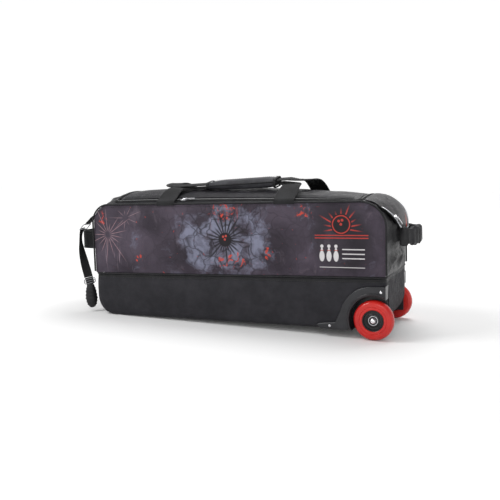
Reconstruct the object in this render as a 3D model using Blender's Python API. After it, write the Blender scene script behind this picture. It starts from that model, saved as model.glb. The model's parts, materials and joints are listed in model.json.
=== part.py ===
"""Rolling three-ball bowling bag, as an assembly of its separate pieces.

Metres, +Z up. Pieces are drawn in the bag's own frame: x runs along the bag from its
middle towards the wheels, y from the front face (negative) to the back, and z up from the
underside of the base. One empty tilts that frame, because the bag stands on its two wheels
and on the rounded heel at its other end.
"""
import math

import bmesh
import bpy
from mathutils import Vector

# Body
BAG_LENGTH = 0.747
BAG_WIDTH = 0.250
PANEL_TOP = 0.281
SEAM_LEFT = 0.107
SEAM_RIGHT = 0.118
HEEL_RADIUS = 0.045
SHOULDER_RADIUS = {-1: 0.045, 1: 0.055}
END_BULGE = {-1: 0.010, 1: 0.0185}
FOOT_BULGE = 0.005
CROWN = 0.0385
CROWN_PEAK_X = -0.20
CROWN_REACH = {-1: 0.21, 1: 0.60}
FABRIC = 0.003
GAP = 0.0003
HALF_LENGTH = BAG_LENGTH / 2
HALF_WIDTH = BAG_WIDTH / 2
FACE_IN = HALF_WIDTH - FABRIC - GAP

# Lid and main zip, as distances from the middle plane of the bag
LID_END = 0.3175
STRIP_EDGE = 0.1125
ZIP_MIDDLE = 0.1060
ZIP_TAPE = 0.0060
ZIP_THICK = 0.0015
LID_HINGE_Y = 0.1015
HINGE_GAP = 0.003

# Piping
PIPING_RADIUS = 0.0022
SEAM_ROOM = 0.0028

# Wheels: 3.5 inch by 1 inch, standing out of the bag's faces
WHEEL_RADIUS = 0.04445
WHEEL_WIDTH = 0.0254
WHEEL_X = 0.347
WHEEL_Z = 0.0245
WHEEL_PROUD = 0.008
ARCH_INNER = 0.0535
ARCH_OUTER = 0.0755
WELL_DEPTH = 0.0285
CHEEK = 0.004
AXLE_RADIUS = 0.004
BEARING_RADIUS = 0.011
BEARING_WIDTH = 0.007
HUB_RADIUS = 0.0235
FOOT_TIP = (0.219, 0.009)
FOOT_CORNER_X = 0.2995
FOOT_RIVET = (0.250, 0.0085)
RIVET_RADIUS = 0.0030

# Webbing and handles
WEBBING = 0.0025
HANDLE_WIDTH = 0.050
WRAP_WEBBING_WIDTH = 0.034
HANDLE_PIVOT_Y = 0.121
HANDLE_PIVOT_Z = 0.292
LEG_X = {-1: (-0.160, 0.146), 1: (-0.200, 0.165)}
HANDLE_TURN = 0.036
WRAP_LEFT = -0.086
WRAP_RIGHT = 0.104
WRAP_WIDTH = 0.044
WRAP_HEIGHT = 0.012
WRAP_Y = -0.036
WRAP_Z_LEFT = 0.3285
WRAP_Z_RIGHT = 0.3355
WRAP_LEAN = math.radians(10)
GRAB_Z = {-1: 0.192, 1: 0.203}
GRAB_WIDTH = 0.046
TOW_Y = -0.108
TOW_WIDTH = 0.022
TOW_INNER_BAR = (-0.4075, TOW_Y, 0.2330)
TOW_OUTER_BAR = (-0.4215, TOW_Y, 0.2195)
TOW_WIRE = 0.0017
GRIP_TOP = (-0.4075, TOW_Y, 0.0760)
GRIP_END = (-0.4045, TOW_Y, 0.0125)
GRIP_FLATNESS = 0.62

# Inside
BOARD = 0.004
CUP_HEIGHT = 0.030
CUP_HOLE = 0.072
COMPARTMENT = 0.243
DIVIDER = 0.006
DIVIDER_TOP = 0.175
END_ROOM = 0.034
SIDE_ROOM = 0.012

# Pocket in the right end
POCKET_HALF = 0.112
POCKET_DIP = 0.090
POCKET_RISE = 0.152
POCKET_LIFT = 0.0032


def seam_height(x):
    """Height of the seam between the base and the printed sides."""
    return SEAM_LEFT + (SEAM_RIGHT - SEAM_LEFT) * (x / BAG_LENGTH + 0.5)


def crown(x):
    """How far the middle of the top stands above the panels' top edges."""
    reach = CROWN_REACH[-1 if x < CROWN_PEAK_X else 1]
    return CROWN * (1 - abs((x - CROWN_PEAK_X) / reach) ** 3)


def across(y):
    """Share of the full bulge at a distance y from the middle plane."""
    return 1 - (y / HALF_WIDTH) ** 2


def top_height(x, y):
    return PANEL_TOP + crown(x) * across(y)


def blend(a, b, share):
    return a + (b - a) * share


# Objects ---------------------------------------------------------------------------------

def clear_scene():
    for item in list(bpy.data.objects):
        bpy.data.objects.remove(item, do_unlink=True)


def make_material(name, colour, roughness, metallic=0.0):
    material = bpy.data.materials.new(name)
    material.use_nodes = True
    shader = material.node_tree.nodes["Principled BSDF"]
    shader.inputs["Base Color"].default_value = (*colour, 1.0)
    shader.inputs["Roughness"].default_value = roughness
    shader.inputs["Metallic"].default_value = metallic
    return material


def make_empty(name, location=(0, 0, 0), parent=None):
    empty = bpy.data.objects.new(name, None)
    empty.location = location
    empty.parent = parent
    bpy.context.scene.collection.objects.link(empty)
    return empty


class Workshop:
    """Makes pieces in the bag's frame, each with its material."""

    def __init__(self, bag_frame):
        self.frame = bag_frame
        self.materials = {
            "base_fabric": make_material("base_fabric", (0.035, 0.034, 0.040), 0.75),
            "black_fabric": make_material("black_fabric", (0.020, 0.020, 0.023), 0.60),
            "print": make_material("print", (0.080, 0.065, 0.085), 0.55),
            "webbing": make_material("webbing", (0.025, 0.025, 0.027), 0.80),
            "board": make_material("board", (0.030, 0.030, 0.030), 0.50),
            "foam": make_material("foam", (0.060, 0.060, 0.065), 0.90),
            "moulding": make_material("moulding", (0.030, 0.030, 0.034), 0.35),
            "zip": make_material("zip", (0.022, 0.022, 0.024), 0.60),
            "tyre": make_material("tyre", (0.80, 0.030, 0.015), 0.30),
            "hub": make_material("hub", (0.015, 0.015, 0.016), 0.40),
            "steel": make_material("steel", (0.60, 0.60, 0.62), 0.25, 1.0),
        }

    def add(self, name, data, material, origin=(0, 0, 0)):
        """One object in the bag's frame. Its mesh is drawn in that frame and moved to origin."""
        piece = bpy.data.objects.new(name, data)
        piece.parent = self.frame
        piece.location = origin
        if material:
            data.materials.append(self.materials[material])
        bpy.context.scene.collection.objects.link(piece)
        return piece

    def mesh(self, name, points, faces, material, origin=(0, 0, 0)):
        shift = Vector(origin)
        data = bpy.data.meshes.new(name)
        data.from_pydata([Vector(p) - shift for p in points], [], faces)
        work = bmesh.new()
        work.from_mesh(data)
        bmesh.ops.recalc_face_normals(work, faces=work.faces)
        work.to_mesh(data)
        work.free()
        data.shade_smooth()
        data.set_sharp_from_angle(angle=math.radians(35))
        return self.add(name, data, material, origin)

    def loft(self, name, rings, material, origin=(0, 0, 0), closed=False):
        """Skin over rings of points. Its ends are capped, or joined when closed."""
        count = len(rings[0])
        points = [p for ring in rings for p in ring]
        faces = []
        spans = len(rings) if closed else len(rings) - 1
        for i in range(spans):
            here = i * count
            there = (i + 1) % len(rings) * count
            for j in range(count):
                k = (j + 1) % count
                faces.append((here + j, here + k, there + k, there + j))
        if not closed:
            faces.append(tuple(range(count)))
            faces.append(tuple(range(len(points) - count, len(points))))
        return self.mesh(name, points, faces, material, origin)

    def prism(self, name, outline, y_start, y_end, material, origin=(0, 0, 0)):
        """A front-view outline, (x, z) points, extruded from front to back."""
        rings = [[(x, y, z) for x, z in outline] for y in (y_start, y_end)]
        return self.loft(name, rings, material, origin)

    def ribbon(self, name, path, widths, thickness, material, origin=(0, 0, 0), closed=False):
        """A flat band. widths holds, for each point of the path, half its width as a vector."""
        rings = []
        last = len(path) - 1
        for i, point in enumerate(path):
            before = path[(i - 1) % len(path)] if closed else path[max(i - 1, 0)]
            after = path[(i + 1) % len(path)] if closed else path[min(i + 1, last)]
            half = Vector(widths[i])
            normal = (Vector(after) - Vector(before)).cross(half).normalized() * thickness / 2
            centre = Vector(point)
            rings.append([centre - half - normal, centre + half - normal,
                          centre + half + normal, centre - half + normal])
        return self.loft(name, rings, material, origin, closed)

    def shell(self, name, surface, rows, columns, thickness, material, origin=(0, 0, 0)):
        """A sheet of even thickness. surface(u, v) gives a point of its outer side and the
        outward normal there, for u and v from 0 to 1."""
        outer, inner = [], []
        for i in range(rows + 1):
            for j in range(columns + 1):
                point, normal = surface(i / rows, j / columns)
                outer.append(point)
                inner.append(point - normal * thickness)
        points = outer + inner
        depth = len(outer)
        line = columns + 1
        faces = []
        for i in range(rows):
            for j in range(columns):
                a = i * line + j
                quad = (a, a + 1, a + line + 1, a + line)
                faces.append(quad)
                faces.append(tuple(depth + k for k in reversed(quad)))
        rim = [j for j in range(line)]
        rim += [i * line + columns for i in range(1, rows + 1)]
        rim += [rows * line + j for j in range(columns - 1, -1, -1)]
        rim += [i * line for i in range(rows - 1, 0, -1)]
        for a, b in zip(rim, rim[1:] + rim[:1]):
            faces.append((a, b, depth + b, depth + a))
        return self.mesh(name, points, faces, material, origin)

    def tube(self, name, path, radius, material, closed=False, origin=(0, 0, 0)):
        curve = bpy.data.curves.new(name, "CURVE")
        curve.dimensions = "3D"
        curve.bevel_depth = radius
        curve.bevel_resolution = 1
        curve.use_fill_caps = True
        spline = curve.splines.new("POLY")
        spline.points.add(len(path) - 1)
        for knot, point in zip(spline.points, path):
            knot.co = (*(Vector(point) - Vector(origin)), 1)
        spline.use_cyclic_u = closed
        return self.add(name, curve, material, origin)

    def turned(self, name, profile, centre, material, steps=24, origin=(0, 0, 0)):
        """A ring turned about a line through centre along y. profile is a closed loop of
        (radius, y) points."""
        rings = []
        for i in range(steps):
            angle = 2 * math.pi * i / steps
            rings.append([(centre[0] + r * math.cos(angle), y, centre[1] + r * math.sin(angle))
                          for r, y in profile])
        return self.loft(name, rings, material, origin, closed=True)

    def spindle(self, name, stations, centre, material, steps=16):
        """A solid stack of circles about a line along y. stations are (radius, y)."""
        rings = []
        for r, y in stations:
            angles = [2 * math.pi * i / steps for i in range(steps)]
            rings.append([(centre[0] + r * math.cos(a), y, centre[1] + r * math.sin(a))
                          for a in angles])
        return self.loft(name, rings, material)

    def combine(self, piece, tool, operation):
        """Cuts the tool out of a piece, or joins the tool to it, and hides the tool."""
        step = piece.modifiers.new(operation.lower(), "BOOLEAN")
        step.operation = operation
        step.solver = "EXACT"
        step.object = tool
        tool.hide_render = True
        tool.display_type = "WIRE"


# Outlines --------------------------------------------------------------------------------

def arc(centre_x, centre_z, radius, start, end, steps):
    """Points of an arc, with its angles in degrees."""
    angles = [math.radians(blend(start, end, i / steps)) for i in range(steps + 1)]
    return [(centre_x + radius * math.cos(a), centre_z + radius * math.sin(a)) for a in angles]


def panel_outline(room, grow=0.0):
    """Front view of a printed side panel, from its lower right corner round to its lower
    left one. grow moves it outwards."""
    right = SHOULDER_RADIUS[1]
    left = SHOULDER_RADIUS[-1]
    outline = [(HALF_LENGTH + grow, seam_height(HALF_LENGTH) + room)]
    outline += arc(HALF_LENGTH - right, PANEL_TOP - right, right + grow, 0, 90, 7)
    outline += arc(-HALF_LENGTH + left, PANEL_TOP - left, left + grow, 90, 180, 7)
    outline.append((-HALF_LENGTH - grow, seam_height(-HALF_LENGTH) + room))
    return outline


def plan_ring(inset, z_at, x_left, x_right, half_width, corner=0.012):
    """A level rounded rectangle, as points in order round the bag."""
    radius = max(corner - inset, 0.004)
    ring = []
    for sx, sy, start in ((1, -1, 270), (1, 1, 0), (-1, 1, 90), (-1, -1, 180)):
        centre_x = (x_right - inset - radius) if sx > 0 else (x_left + inset + radius)
        centre_y = sy * (half_width - inset - radius)
        for x, y in arc(centre_x, centre_y, radius, start, start + 90, 4):
            ring.append((x, y, z_at(x)))
    return ring


def end_point(side, distance, y, lift=0.0):
    """A point of an end panel and its normal: distance runs up the end from the seam and
    over the shoulder, and y is across the bag."""
    radius = SHOULDER_RADIUS[side]
    foot = seam_height(side * HALF_LENGTH) + SEAM_ROOM
    rise = PANEL_TOP - radius - foot
    turn = radius * math.pi / 2
    if distance < rise:
        x, z, angle = HALF_LENGTH, foot + distance, 0.0
    elif distance < rise + turn:
        angle = (distance - rise) / radius
        x = HALF_LENGTH - radius + radius * math.cos(angle)
        z = PANEL_TOP - radius + radius * math.sin(angle)
    else:
        x, z, angle = HALF_LENGTH - radius - (distance - rise - turn), PANEL_TOP, math.pi / 2
    belly = math.sin(min(distance / rise, 1.0) * math.pi / 2)
    bulge = blend(FOOT_BULGE, END_BULGE[side], belly)
    over = min(max((distance - rise) / (end_reach(side) - rise), 0.0), 1.0)
    bulge = blend(bulge, crown(side * LID_END), over * over * (3 - 2 * over))
    normal = Vector((side * math.cos(angle), 0, math.sin(angle)))
    return Vector((side * x, y, z)) + normal * (bulge * across(y) + lift), normal


def end_reach(side):
    """Distance from the seam, over the shoulder, to the end of the lid."""
    radius = SHOULDER_RADIUS[side]
    rise = PANEL_TOP - radius - seam_height(side * HALF_LENGTH) - SEAM_ROOM
    return rise + radius * math.pi / 2 + HALF_LENGTH - radius - LID_END - GAP


# Base ------------------------------------------------------------------------------------

def heel_inset(z):
    """How far the rounded heel and toe stand in from the ends at a height z."""
    if z >= HEEL_RADIUS:
        return 0.0
    return HEEL_RADIUS - math.sqrt(HEEL_RADIUS ** 2 - (HEEL_RADIUS - z) ** 2)


def edge_inset(z, radius=0.012):
    if z >= radius:
        return 0.0
    return radius - math.sqrt(radius ** 2 - (radius - z) ** 2)


def base_rings(inset, levels):
    rings = []
    for level in levels:
        x_end = HALF_LENGTH - heel_inset(level)
        half = HALF_WIDTH - edge_inset(level)
        rings.append(plan_ring(inset, lambda x, z=level: z + inset, -x_end, x_end, half))
    rings.append(plan_ring(inset, lambda x: seam_height(x) - SEAM_ROOM,
                           -HALF_LENGTH, HALF_LENGTH, HALF_WIDTH))
    return rings


def housing_profile(outer, inner, x_end, room=0.0):
    """Front view of the wheel housing: an arch with a tapered foot along the base."""
    foot_z = WHEEL_Z - (ARCH_INNER ** 2 - (WHEEL_X - FOOT_CORNER_X) ** 2) ** 0.5
    tip_x, tip_z = FOOT_TIP
    profile = [(tip_x + 0.011, foot_z - room), (tip_x - room, tip_z)]
    profile += [(tip_x + 0.007, tip_z + 0.0045 + room), (tip_x + 0.043, tip_z + 0.008 + room)]
    profile += arc(WHEEL_X, WHEEL_Z, outer, 168, 90, 8)
    profile.append((x_end, WHEEL_Z + outer))
    if inner:
        start = math.degrees(math.acos((x_end - WHEEL_X) / inner))
        profile += arc(WHEEL_X, WHEEL_Z, inner, start, 207.4, 10)
    else:
        profile.append((x_end, foot_z - room))
    return profile


def build_base(shop):
    outer = base_rings(0.0, (0.0, 0.003, 0.012, 0.027, 0.045))
    inner = base_rings(FABRIC, (0.0, 0.003, 0.012, 0.027, 0.045))
    cover = shop.loft("base_cover", outer + inner[::-1], "base_fabric")
    for side in (-1, 1):
        profile = housing_profile(ARCH_OUTER + GAP, 0, HALF_LENGTH + 0.03, GAP)
        inside = side * (HALF_WIDTH - WELL_DEPTH)
        outside = side * (HALF_WIDTH + 0.02)
        well = shop.prism(f"cutter_well_{side}", profile, inside, outside, None)
        shop.combine(cover, well, "DIFFERENCE")
    board_x = HALF_LENGTH - HEEL_RADIUS - FABRIC - 0.003
    board_y = HALF_WIDTH - WELL_DEPTH - 0.003
    low = FABRIC + GAP
    rings = [plan_ring(0.0, lambda x, z=z: z, -board_x, 0.262, board_y, 0.02)
             for z in (low, low + BOARD)]
    shop.loft("base_board", rings, "board")


def build_piping(shop):
    ring = plan_ring(-0.0006, seam_height, -HALF_LENGTH, HALF_LENGTH, HALF_WIDTH)
    shop.tube("base_piping", ring, PIPING_RADIUS, "black_fabric", closed=True)
    for side, name in ((-1, "front_piping"), (1, "rear_piping")):
        outline = panel_outline(2 * SEAM_ROOM, PIPING_RADIUS + GAP)
        path = [(x, side * (HALF_WIDTH + 0.0010), z) for x, z in outline]
        shop.tube(name, path, PIPING_RADIUS, "black_fabric")


# Sides, ends and top ---------------------------------------------------------------------

def build_panels(shop):
    outline = panel_outline(SEAM_ROOM)
    for side, name in ((-1, "front_panel"), (1, "rear_panel")):
        shop.prism(name, outline, side * HALF_WIDTH, side * (HALF_WIDTH - FABRIC), "print")
    for side, name in ((-1, "left_end_panel"), (1, "right_end_panel")):
        def surface(u, v, side=side):
            return end_point(side, u * end_reach(side), blend(-FACE_IN, FACE_IN, v))
        shop.shell(name, surface, 12, 6, FABRIC, "black_fabric")


def top_sheet(shop, name, y_start, y_end, thickness, material, columns, origin=(0, 0, 0)):
    """A lengthwise piece of the crowned top."""
    def surface(u, v):
        x = blend(-LID_END, LID_END, u)
        y = blend(y_start, y_end, v)
        slope = -2 * y * crown(x) / HALF_WIDTH ** 2
        normal = Vector((0, -slope, 1)).normalized()
        return Vector((x, y, top_height(x, y))), normal
    return shop.shell(name, surface, 14, columns, thickness, material, origin)


def build_top(shop):
    top_sheet(shop, "front_top_strip", -FACE_IN, -STRIP_EDGE, FABRIC, "black_fabric", 1)
    top_sheet(shop, "rear_top_strip", LID_HINGE_Y + HINGE_GAP, FACE_IN, FABRIC, "black_fabric", 1)
    seat = STRIP_EDGE - GAP
    top_sheet(shop, "body_zip_tape", -seat, -ZIP_MIDDLE - GAP / 2, ZIP_THICK, "zip", 1)
    hinge = lid_hinge_point()
    top_sheet(shop, "lid_zip_tape", -ZIP_MIDDLE + GAP / 2, -ZIP_MIDDLE + ZIP_TAPE, ZIP_THICK,
              "zip", 1, hinge)
    top_sheet(shop, "lid_panel", -ZIP_MIDDLE + ZIP_TAPE + GAP, LID_HINGE_Y - HINGE_GAP, FABRIC,
              "black_fabric", 8, hinge)


def lid_hinge_point():
    return (0, LID_HINGE_Y, top_height(0, LID_HINGE_Y) - FABRIC / 2)


# Wheels ----------------------------------------------------------------------------------

def build_wheel(shop, side, name):
    """A tyre on a hub with two bearings, its axle bolt, nut and washer, and its housing."""
    face = HALF_WIDTH + WHEEL_PROUD
    inner = face - WHEEL_WIDTH
    centre = (WHEEL_X, WHEEL_Z)
    origin = (WHEEL_X, side * (face + inner) / 2, WHEEL_Z)
    middle = (face + inner) / 2
    half = WHEEL_WIDTH / 2

    def ring(suffix, profile, material, steps):
        placed = [(r, side * y) for r, y in profile]
        shop.turned(f"{name}_{suffix}", placed, centre, material, steps, origin)

    tread = [(WHEEL_RADIUS - half * (1 - math.cos(math.radians(a))) * 0.55,
              middle + half * math.sin(math.radians(a))) for a in range(-90, 91, 22)]
    ring("tyre", [(HUB_RADIUS + GAP, inner)] + tread + [(HUB_RADIUS + GAP, face)], "tyre", 36)
    seat = BEARING_RADIUS + GAP
    lip = BEARING_RADIUS - 0.0025
    step = face - BEARING_WIDTH - 0.004
    inner_step = inner + BEARING_WIDTH + 0.002
    ring("hub", [(HUB_RADIUS, inner + 0.001), (HUB_RADIUS, face - 0.001),
                 (HUB_RADIUS - 0.002, face - 0.001), (seat + 0.002, face - 0.003),
                 (seat, face - 0.003), (seat, step), (lip, step), (lip, inner_step),
                 (seat, inner_step), (seat, inner + 0.001)], "hub", 24)
    bore = AXLE_RADIUS + GAP
    for suffix, low in (("outer_bearing", step + GAP), ("inner_bearing", inner + 0.0014)):
        high = low + BEARING_WIDTH
        ring(suffix, [(bore, low), (BEARING_RADIUS, low), (BEARING_RADIUS, high), (bore, high)],
             "steel", 24)

    cheek_face = HALF_WIDTH - WELL_DEPTH + GAP
    nut_low = cheek_face - 0.0065
    head = face + 0.0005
    bolt = [(AXLE_RADIUS, nut_low - 0.002), (AXLE_RADIUS, head - 0.0025), (0.0060, head - 0.0025),
            (0.0062, head - 0.0005), (0.0045, head + 0.0022), (0.0015, head + 0.0032)]
    shop.spindle(f"{name}_axle_bolt", [(r, side * y) for r, y in bolt], centre, "steel")
    nut_bore = AXLE_RADIUS + GAP
    nut = [(nut_bore, nut_low), (0.0068, nut_low), (0.0068, cheek_face - GAP),
           (nut_bore, cheek_face - GAP)]
    shop.turned(f"{name}_axle_nut", [(r, side * y) for r, y in nut], centre, "steel", 12)
    washer = [(nut_bore, cheek_face + CHEEK + GAP), (0.0070, cheek_face + CHEEK + GAP),
              (0.0070, inner - GAP), (nut_bore, inner - GAP)]
    shop.turned(f"{name}_axle_spacer", [(r, side * y) for r, y in washer], centre, "steel", 16)
    build_housing(shop, side, name, cheek_face, face)


def build_housing(shop, side, name, cheek_face, face):
    """A moulded arch over the wheel, with the cheek that carries the axle."""
    x_end = HALF_LENGTH - 0.0055
    arch = housing_profile(ARCH_OUTER, ARCH_INNER, x_end)
    housing = shop.prism(f"{name}_housing", arch, side * cheek_face, side * (face - 0.002),
                         "moulding")
    cheek = arc(WHEEL_X, WHEEL_Z, ARCH_OUTER - 0.010, 196, 90, 8)
    cheek += [(x_end - 0.001, WHEEL_Z + ARCH_OUTER - 0.010), (x_end - 0.001, 0.006)]
    plate = shop.prism(f"cutter_{name}_cheek", cheek, side * (cheek_face + 0.00001),
                       side * (cheek_face + CHEEK), None)
    shop.combine(housing, plate, "UNION")
    bore = AXLE_RADIUS + GAP
    hole = shop.spindle(f"cutter_{name}_hole", [(bore, side * (cheek_face - 0.01)),
                                                (bore, side * (face + 0.01))],
                        (WHEEL_X, WHEEL_Z), None)
    shop.combine(housing, hole, "DIFFERENCE")
    low = face - 0.002 + GAP
    rivet = [(RIVET_RADIUS, low), (RIVET_RADIUS, low + 0.0008), (RIVET_RADIUS / 2, low + 0.0018)]
    shop.spindle(f"{name}_housing_rivet", [(r, side * y) for r, y in rivet], FOOT_RIVET, "steel",
                 10)


# Inside ----------------------------------------------------------------------------------

def build_inside(shop):
    floor = FABRIC + BOARD + 2 * GAP
    reach = HALF_WIDTH - FABRIC - SIDE_ROOM
    for name, column in (("left_ball_cup", -1), ("middle_ball_cup", 0), ("right_ball_cup", 1)):
        middle = column * COMPARTMENT
        low = middle - COMPARTMENT / 2 + DIVIDER
        high = middle + COMPARTMENT / 2 - DIVIDER
        if column < 0:
            low = -HALF_LENGTH + END_ROOM
        if column > 0:
            high = HALF_LENGTH - END_ROOM
        depth = reach if column < 1 else HALF_WIDTH - WELL_DEPTH - 0.0115
        centre = (low + high) / 2
        rings = [plan_ring(0.0, lambda x, z=z: z, low, high, depth, 0.02)
                 for z in (floor, floor + CUP_HEIGHT)]
        cup = shop.loft(name, rings, "foam")
        hole_radius = min(CUP_HOLE, (high - low) / 2 - 0.012)
        hole = cup_hole(shop, f"cutter_{name}", centre, floor, hole_radius)
        shop.combine(cup, hole, "DIFFERENCE")
    for name, side in (("left_divider", -1), ("right_divider", 1)):
        x = side * COMPARTMENT / 2
        outline = [(x - DIVIDER / 2, floor), (x + DIVIDER / 2, floor),
                   (x + DIVIDER / 2, DIVIDER_TOP), (x - DIVIDER / 2, DIVIDER_TOP)]
        shop.prism(name, outline, -reach, reach, "foam")


def cup_hole(shop, name, centre_x, floor, radius):
    """The round well that one ball sits in, flared at its top."""
    rings = []
    angles = [2 * math.pi * i / 20 for i in range(20)]
    for z, r in ((floor - 0.01, radius - 0.012), (floor + CUP_HEIGHT * 0.3, radius - 0.008),
                 (floor + CUP_HEIGHT + 0.001, radius)):
        rings.append([(centre_x + r * math.cos(a), r * math.sin(a), z) for a in angles])
    return shop.loft(name, rings, None)


# Carry handles ---------------------------------------------------------------------------

def wrap_centre(x):
    share = (x - WRAP_LEFT) / (WRAP_RIGHT - WRAP_LEFT)
    return Vector((x, WRAP_Y, blend(WRAP_Z_LEFT, WRAP_Z_RIGHT, share)))


def smooth_path(keys, steps):
    """A Catmull-Rom curve through the key rows, each row a tuple of numbers."""
    rows = []
    for i in range(len(keys) - 1):
        before = keys[max(i - 1, 0)]
        after = keys[min(i + 2, len(keys) - 1)]
        for j in range(steps):
            t = j / steps
            rows.append(tuple(spline_value(a, b, c, d, t) for a, b, c, d
                              in zip(before, keys[i], keys[i + 1], after)))
    rows.append(tuple(keys[-1]))
    return rows


def spline_value(a, b, c, d, t):
    return 0.5 * (2 * b + (c - a) * t + (2 * a - 5 * b + 4 * c - d) * t ** 2
                  + (3 * b - a - 3 * c + d) * t ** 3)


def build_band(shop, name, rows, thickness, material, origin):
    """A band through rows of position, direction across and width."""
    path = [Vector(row[:3]) for row in rows]
    widths = [Vector(row[3:6]).normalized() * row[6] / 2 for row in rows]
    return shop.ribbon(name, path, widths, thickness, material, origin)


def leg_plan(side, leg_x, inwards):
    """Plan view of one handle leg, from its sewn end to the wrap: straight across the bag,
    then a quarter turn. Each row is x, y and the direction across the band."""
    start_y = side * HANDLE_PIVOT_Y
    turn_y = WRAP_Y + side * HANDLE_TURN
    centre = (leg_x + inwards * HANDLE_TURN, turn_y)
    rows = [(leg_x, blend(start_y, turn_y, i / 4), 1, 0) for i in range(4)]
    for i in range(7):
        angle = math.pi / 2 * i / 6
        out = (-inwards * math.cos(angle), -side * math.sin(angle))
        rows.append((centre[0] + HANDLE_TURN * out[0], centre[1] + HANDLE_TURN * out[1],
                     math.cos(angle), inwards * side * math.sin(angle)))
    return rows


def leg_rows(side, leg_x, inwards, drop):
    """Rows of position, direction across and width for one handle leg."""
    plan = leg_plan(side, leg_x, inwards)
    end_x, end_y = plan[-1][:2]
    foot_lift = HANDLE_PIVOT_Z - top_height(leg_x, side * HANDLE_PIVOT_Y)
    end_lift = wrap_centre(end_x).z - drop - top_height(end_x, end_y)
    rows = []
    for i, (x, y, across_x, across_y) in enumerate(plan):
        share = i / (len(plan) - 1)
        lift = blend(foot_lift, end_lift, share)
        slope = blend(-2 * y * crown(x) / HALF_WIDTH ** 2, math.tan(WRAP_LEAN), share ** 4)
        tilt = across_y * slope
        width = blend(HANDLE_WIDTH, WRAP_WEBBING_WIDTH, share ** 2)
        rows.append((x, y, top_height(x, y) + lift, across_x, across_y, tilt, width))
    return rows


def handle_rows(side, drop):
    """One carry handle: up its left leg, along the wrap and down its right leg. side is -1
    for the front handle, and drop is its depth below the middle of the wrap."""
    left = leg_rows(side, LEG_X[side][0], 1, drop)
    right = leg_rows(side, LEG_X[side][1], -1, drop)
    turned_over = [row[:3] + tuple(-n for n in row[3:6]) + row[6:] for row in right]
    return left + turned_over[::-1]


def build_carry_handles(shop):
    front_pivot = (0, -HANDLE_PIVOT_Y, HANDLE_PIVOT_Z)
    rear_pivot = (0, HANDLE_PIVOT_Y, HANDLE_PIVOT_Z)
    front_drop = WRAP_HEIGHT / 2 + WEBBING / 2 + 0.0010
    build_band(shop, "front_handle_webbing", handle_rows(-1, front_drop), WEBBING, "webbing",
               front_pivot)
    build_band(shop, "rear_handle_webbing", handle_rows(1, 0.0), WEBBING, "webbing", rear_pivot)
    rings = {}
    for label, half_width, half_height in (("sleeve", WRAP_WIDTH / 2, WRAP_HEIGHT / 2),
                                           ("slot", WRAP_WEBBING_WIDTH / 2 + 0.0010,
                                            WEBBING / 2 + 0.0008)):
        rings[label] = []
        over = 0.0 if label == "sleeve" else 0.010
        for x in (WRAP_LEFT + 0.004 - over, WRAP_RIGHT - 0.004 + over):
            side = Vector((0, math.cos(WRAP_LEAN), math.sin(WRAP_LEAN)))
            up = Vector((0, -math.sin(WRAP_LEAN), math.cos(WRAP_LEAN)))
            centre = wrap_centre(x)
            rings[label].append([centre + side * half_width * a + up * half_height * b
                                 for a, b in ((-1, -1), (1, -1), (1, 1), (-1, 1))])
    wrap = shop.loft("handle_wrap", rings["sleeve"], "black_fabric", rear_pivot)
    slot = shop.loft("cutter_wrap_slot", rings["slot"], None)
    shop.combine(wrap, slot, "DIFFERENCE")
    for side, face in ((-1, "front"), (1, "rear")):
        for x, end in zip(LEG_X[side], ("left", "right")):
            build_patch(shop, f"{face}_{end}_handle_patch", x, side)


def build_patch(shop, name, x_middle, side):
    """The sewn-down end of one handle leg."""
    def surface(u, v):
        x = x_middle + blend(-0.5, 0.5, u) * HANDLE_WIDTH
        y = side * blend(FACE_IN - 0.0002, STRIP_EDGE + 0.0006, v)
        normal = Vector((0, 2 * y * crown(x) / HALF_WIDTH ** 2, 1)).normalized()
        return Vector((x, y, top_height(x, y))) + normal * (0.0004 + 0.0016), normal
    shop.shell(name, surface, 4, 1, 0.0016, "webbing")


# Zip sliders and pullers -----------------------------------------------------------------

def box_rings(centre, along, side, up, length, width, height, taper=1.0):
    """Two rings of a block with its length along one direction."""
    rings = []
    for end, scale in ((-0.5, 1.0), (0.5, taper)):
        middle = centre + along * length * end
        rings.append([middle + side * width / 2 * a * scale + up * height / 2 * b
                      for a, b in ((-1, -1), (1, -1), (1, 1), (-1, 1))])
    return rings


def build_slider(shop, prefix, place, along, up, length=0.015, width=0.0056):
    """A slider on its tape, and its puller lying along the zip from a pivot on the slider."""
    side = up.cross(along).normalized()
    body = place + up * (0.0020 + GAP)
    shop.loft(f"{prefix}_slider", box_rings(body, along, side, up, length, width, 0.0040, 0.8),
              "steel", place)
    pivot = place + up * 0.0056 + along * length * 0.35
    plate = pivot + along * 0.0135
    shop.loft(f"{prefix}_puller", box_rings(plate, along, side, up, 0.027, 0.0060, 0.0016, 0.8),
              "steel", pivot)


def build_zips(shop):
    y = -(ZIP_MIDDLE + STRIP_EDGE - GAP) / 2
    x = -0.118
    slope = 2 * y * crown(x) / HALF_WIDTH ** 2
    up = Vector((0, slope, 1)).normalized()
    step = 0.1
    rise = top_height(x + step, y) - top_height(x, y)
    along = Vector((step, 0, rise)).normalized()
    build_slider(shop, "zip", Vector((x, y, top_height(x, y))) + up * 0.0004, along, up)


# End pocket ------------------------------------------------------------------------------

def pocket_line(t):
    """Distance up the right end of the pocket's curved zip, for t from -1 to 1 across it."""
    return blend(POCKET_DIP, POCKET_RISE, t * t)


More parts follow.
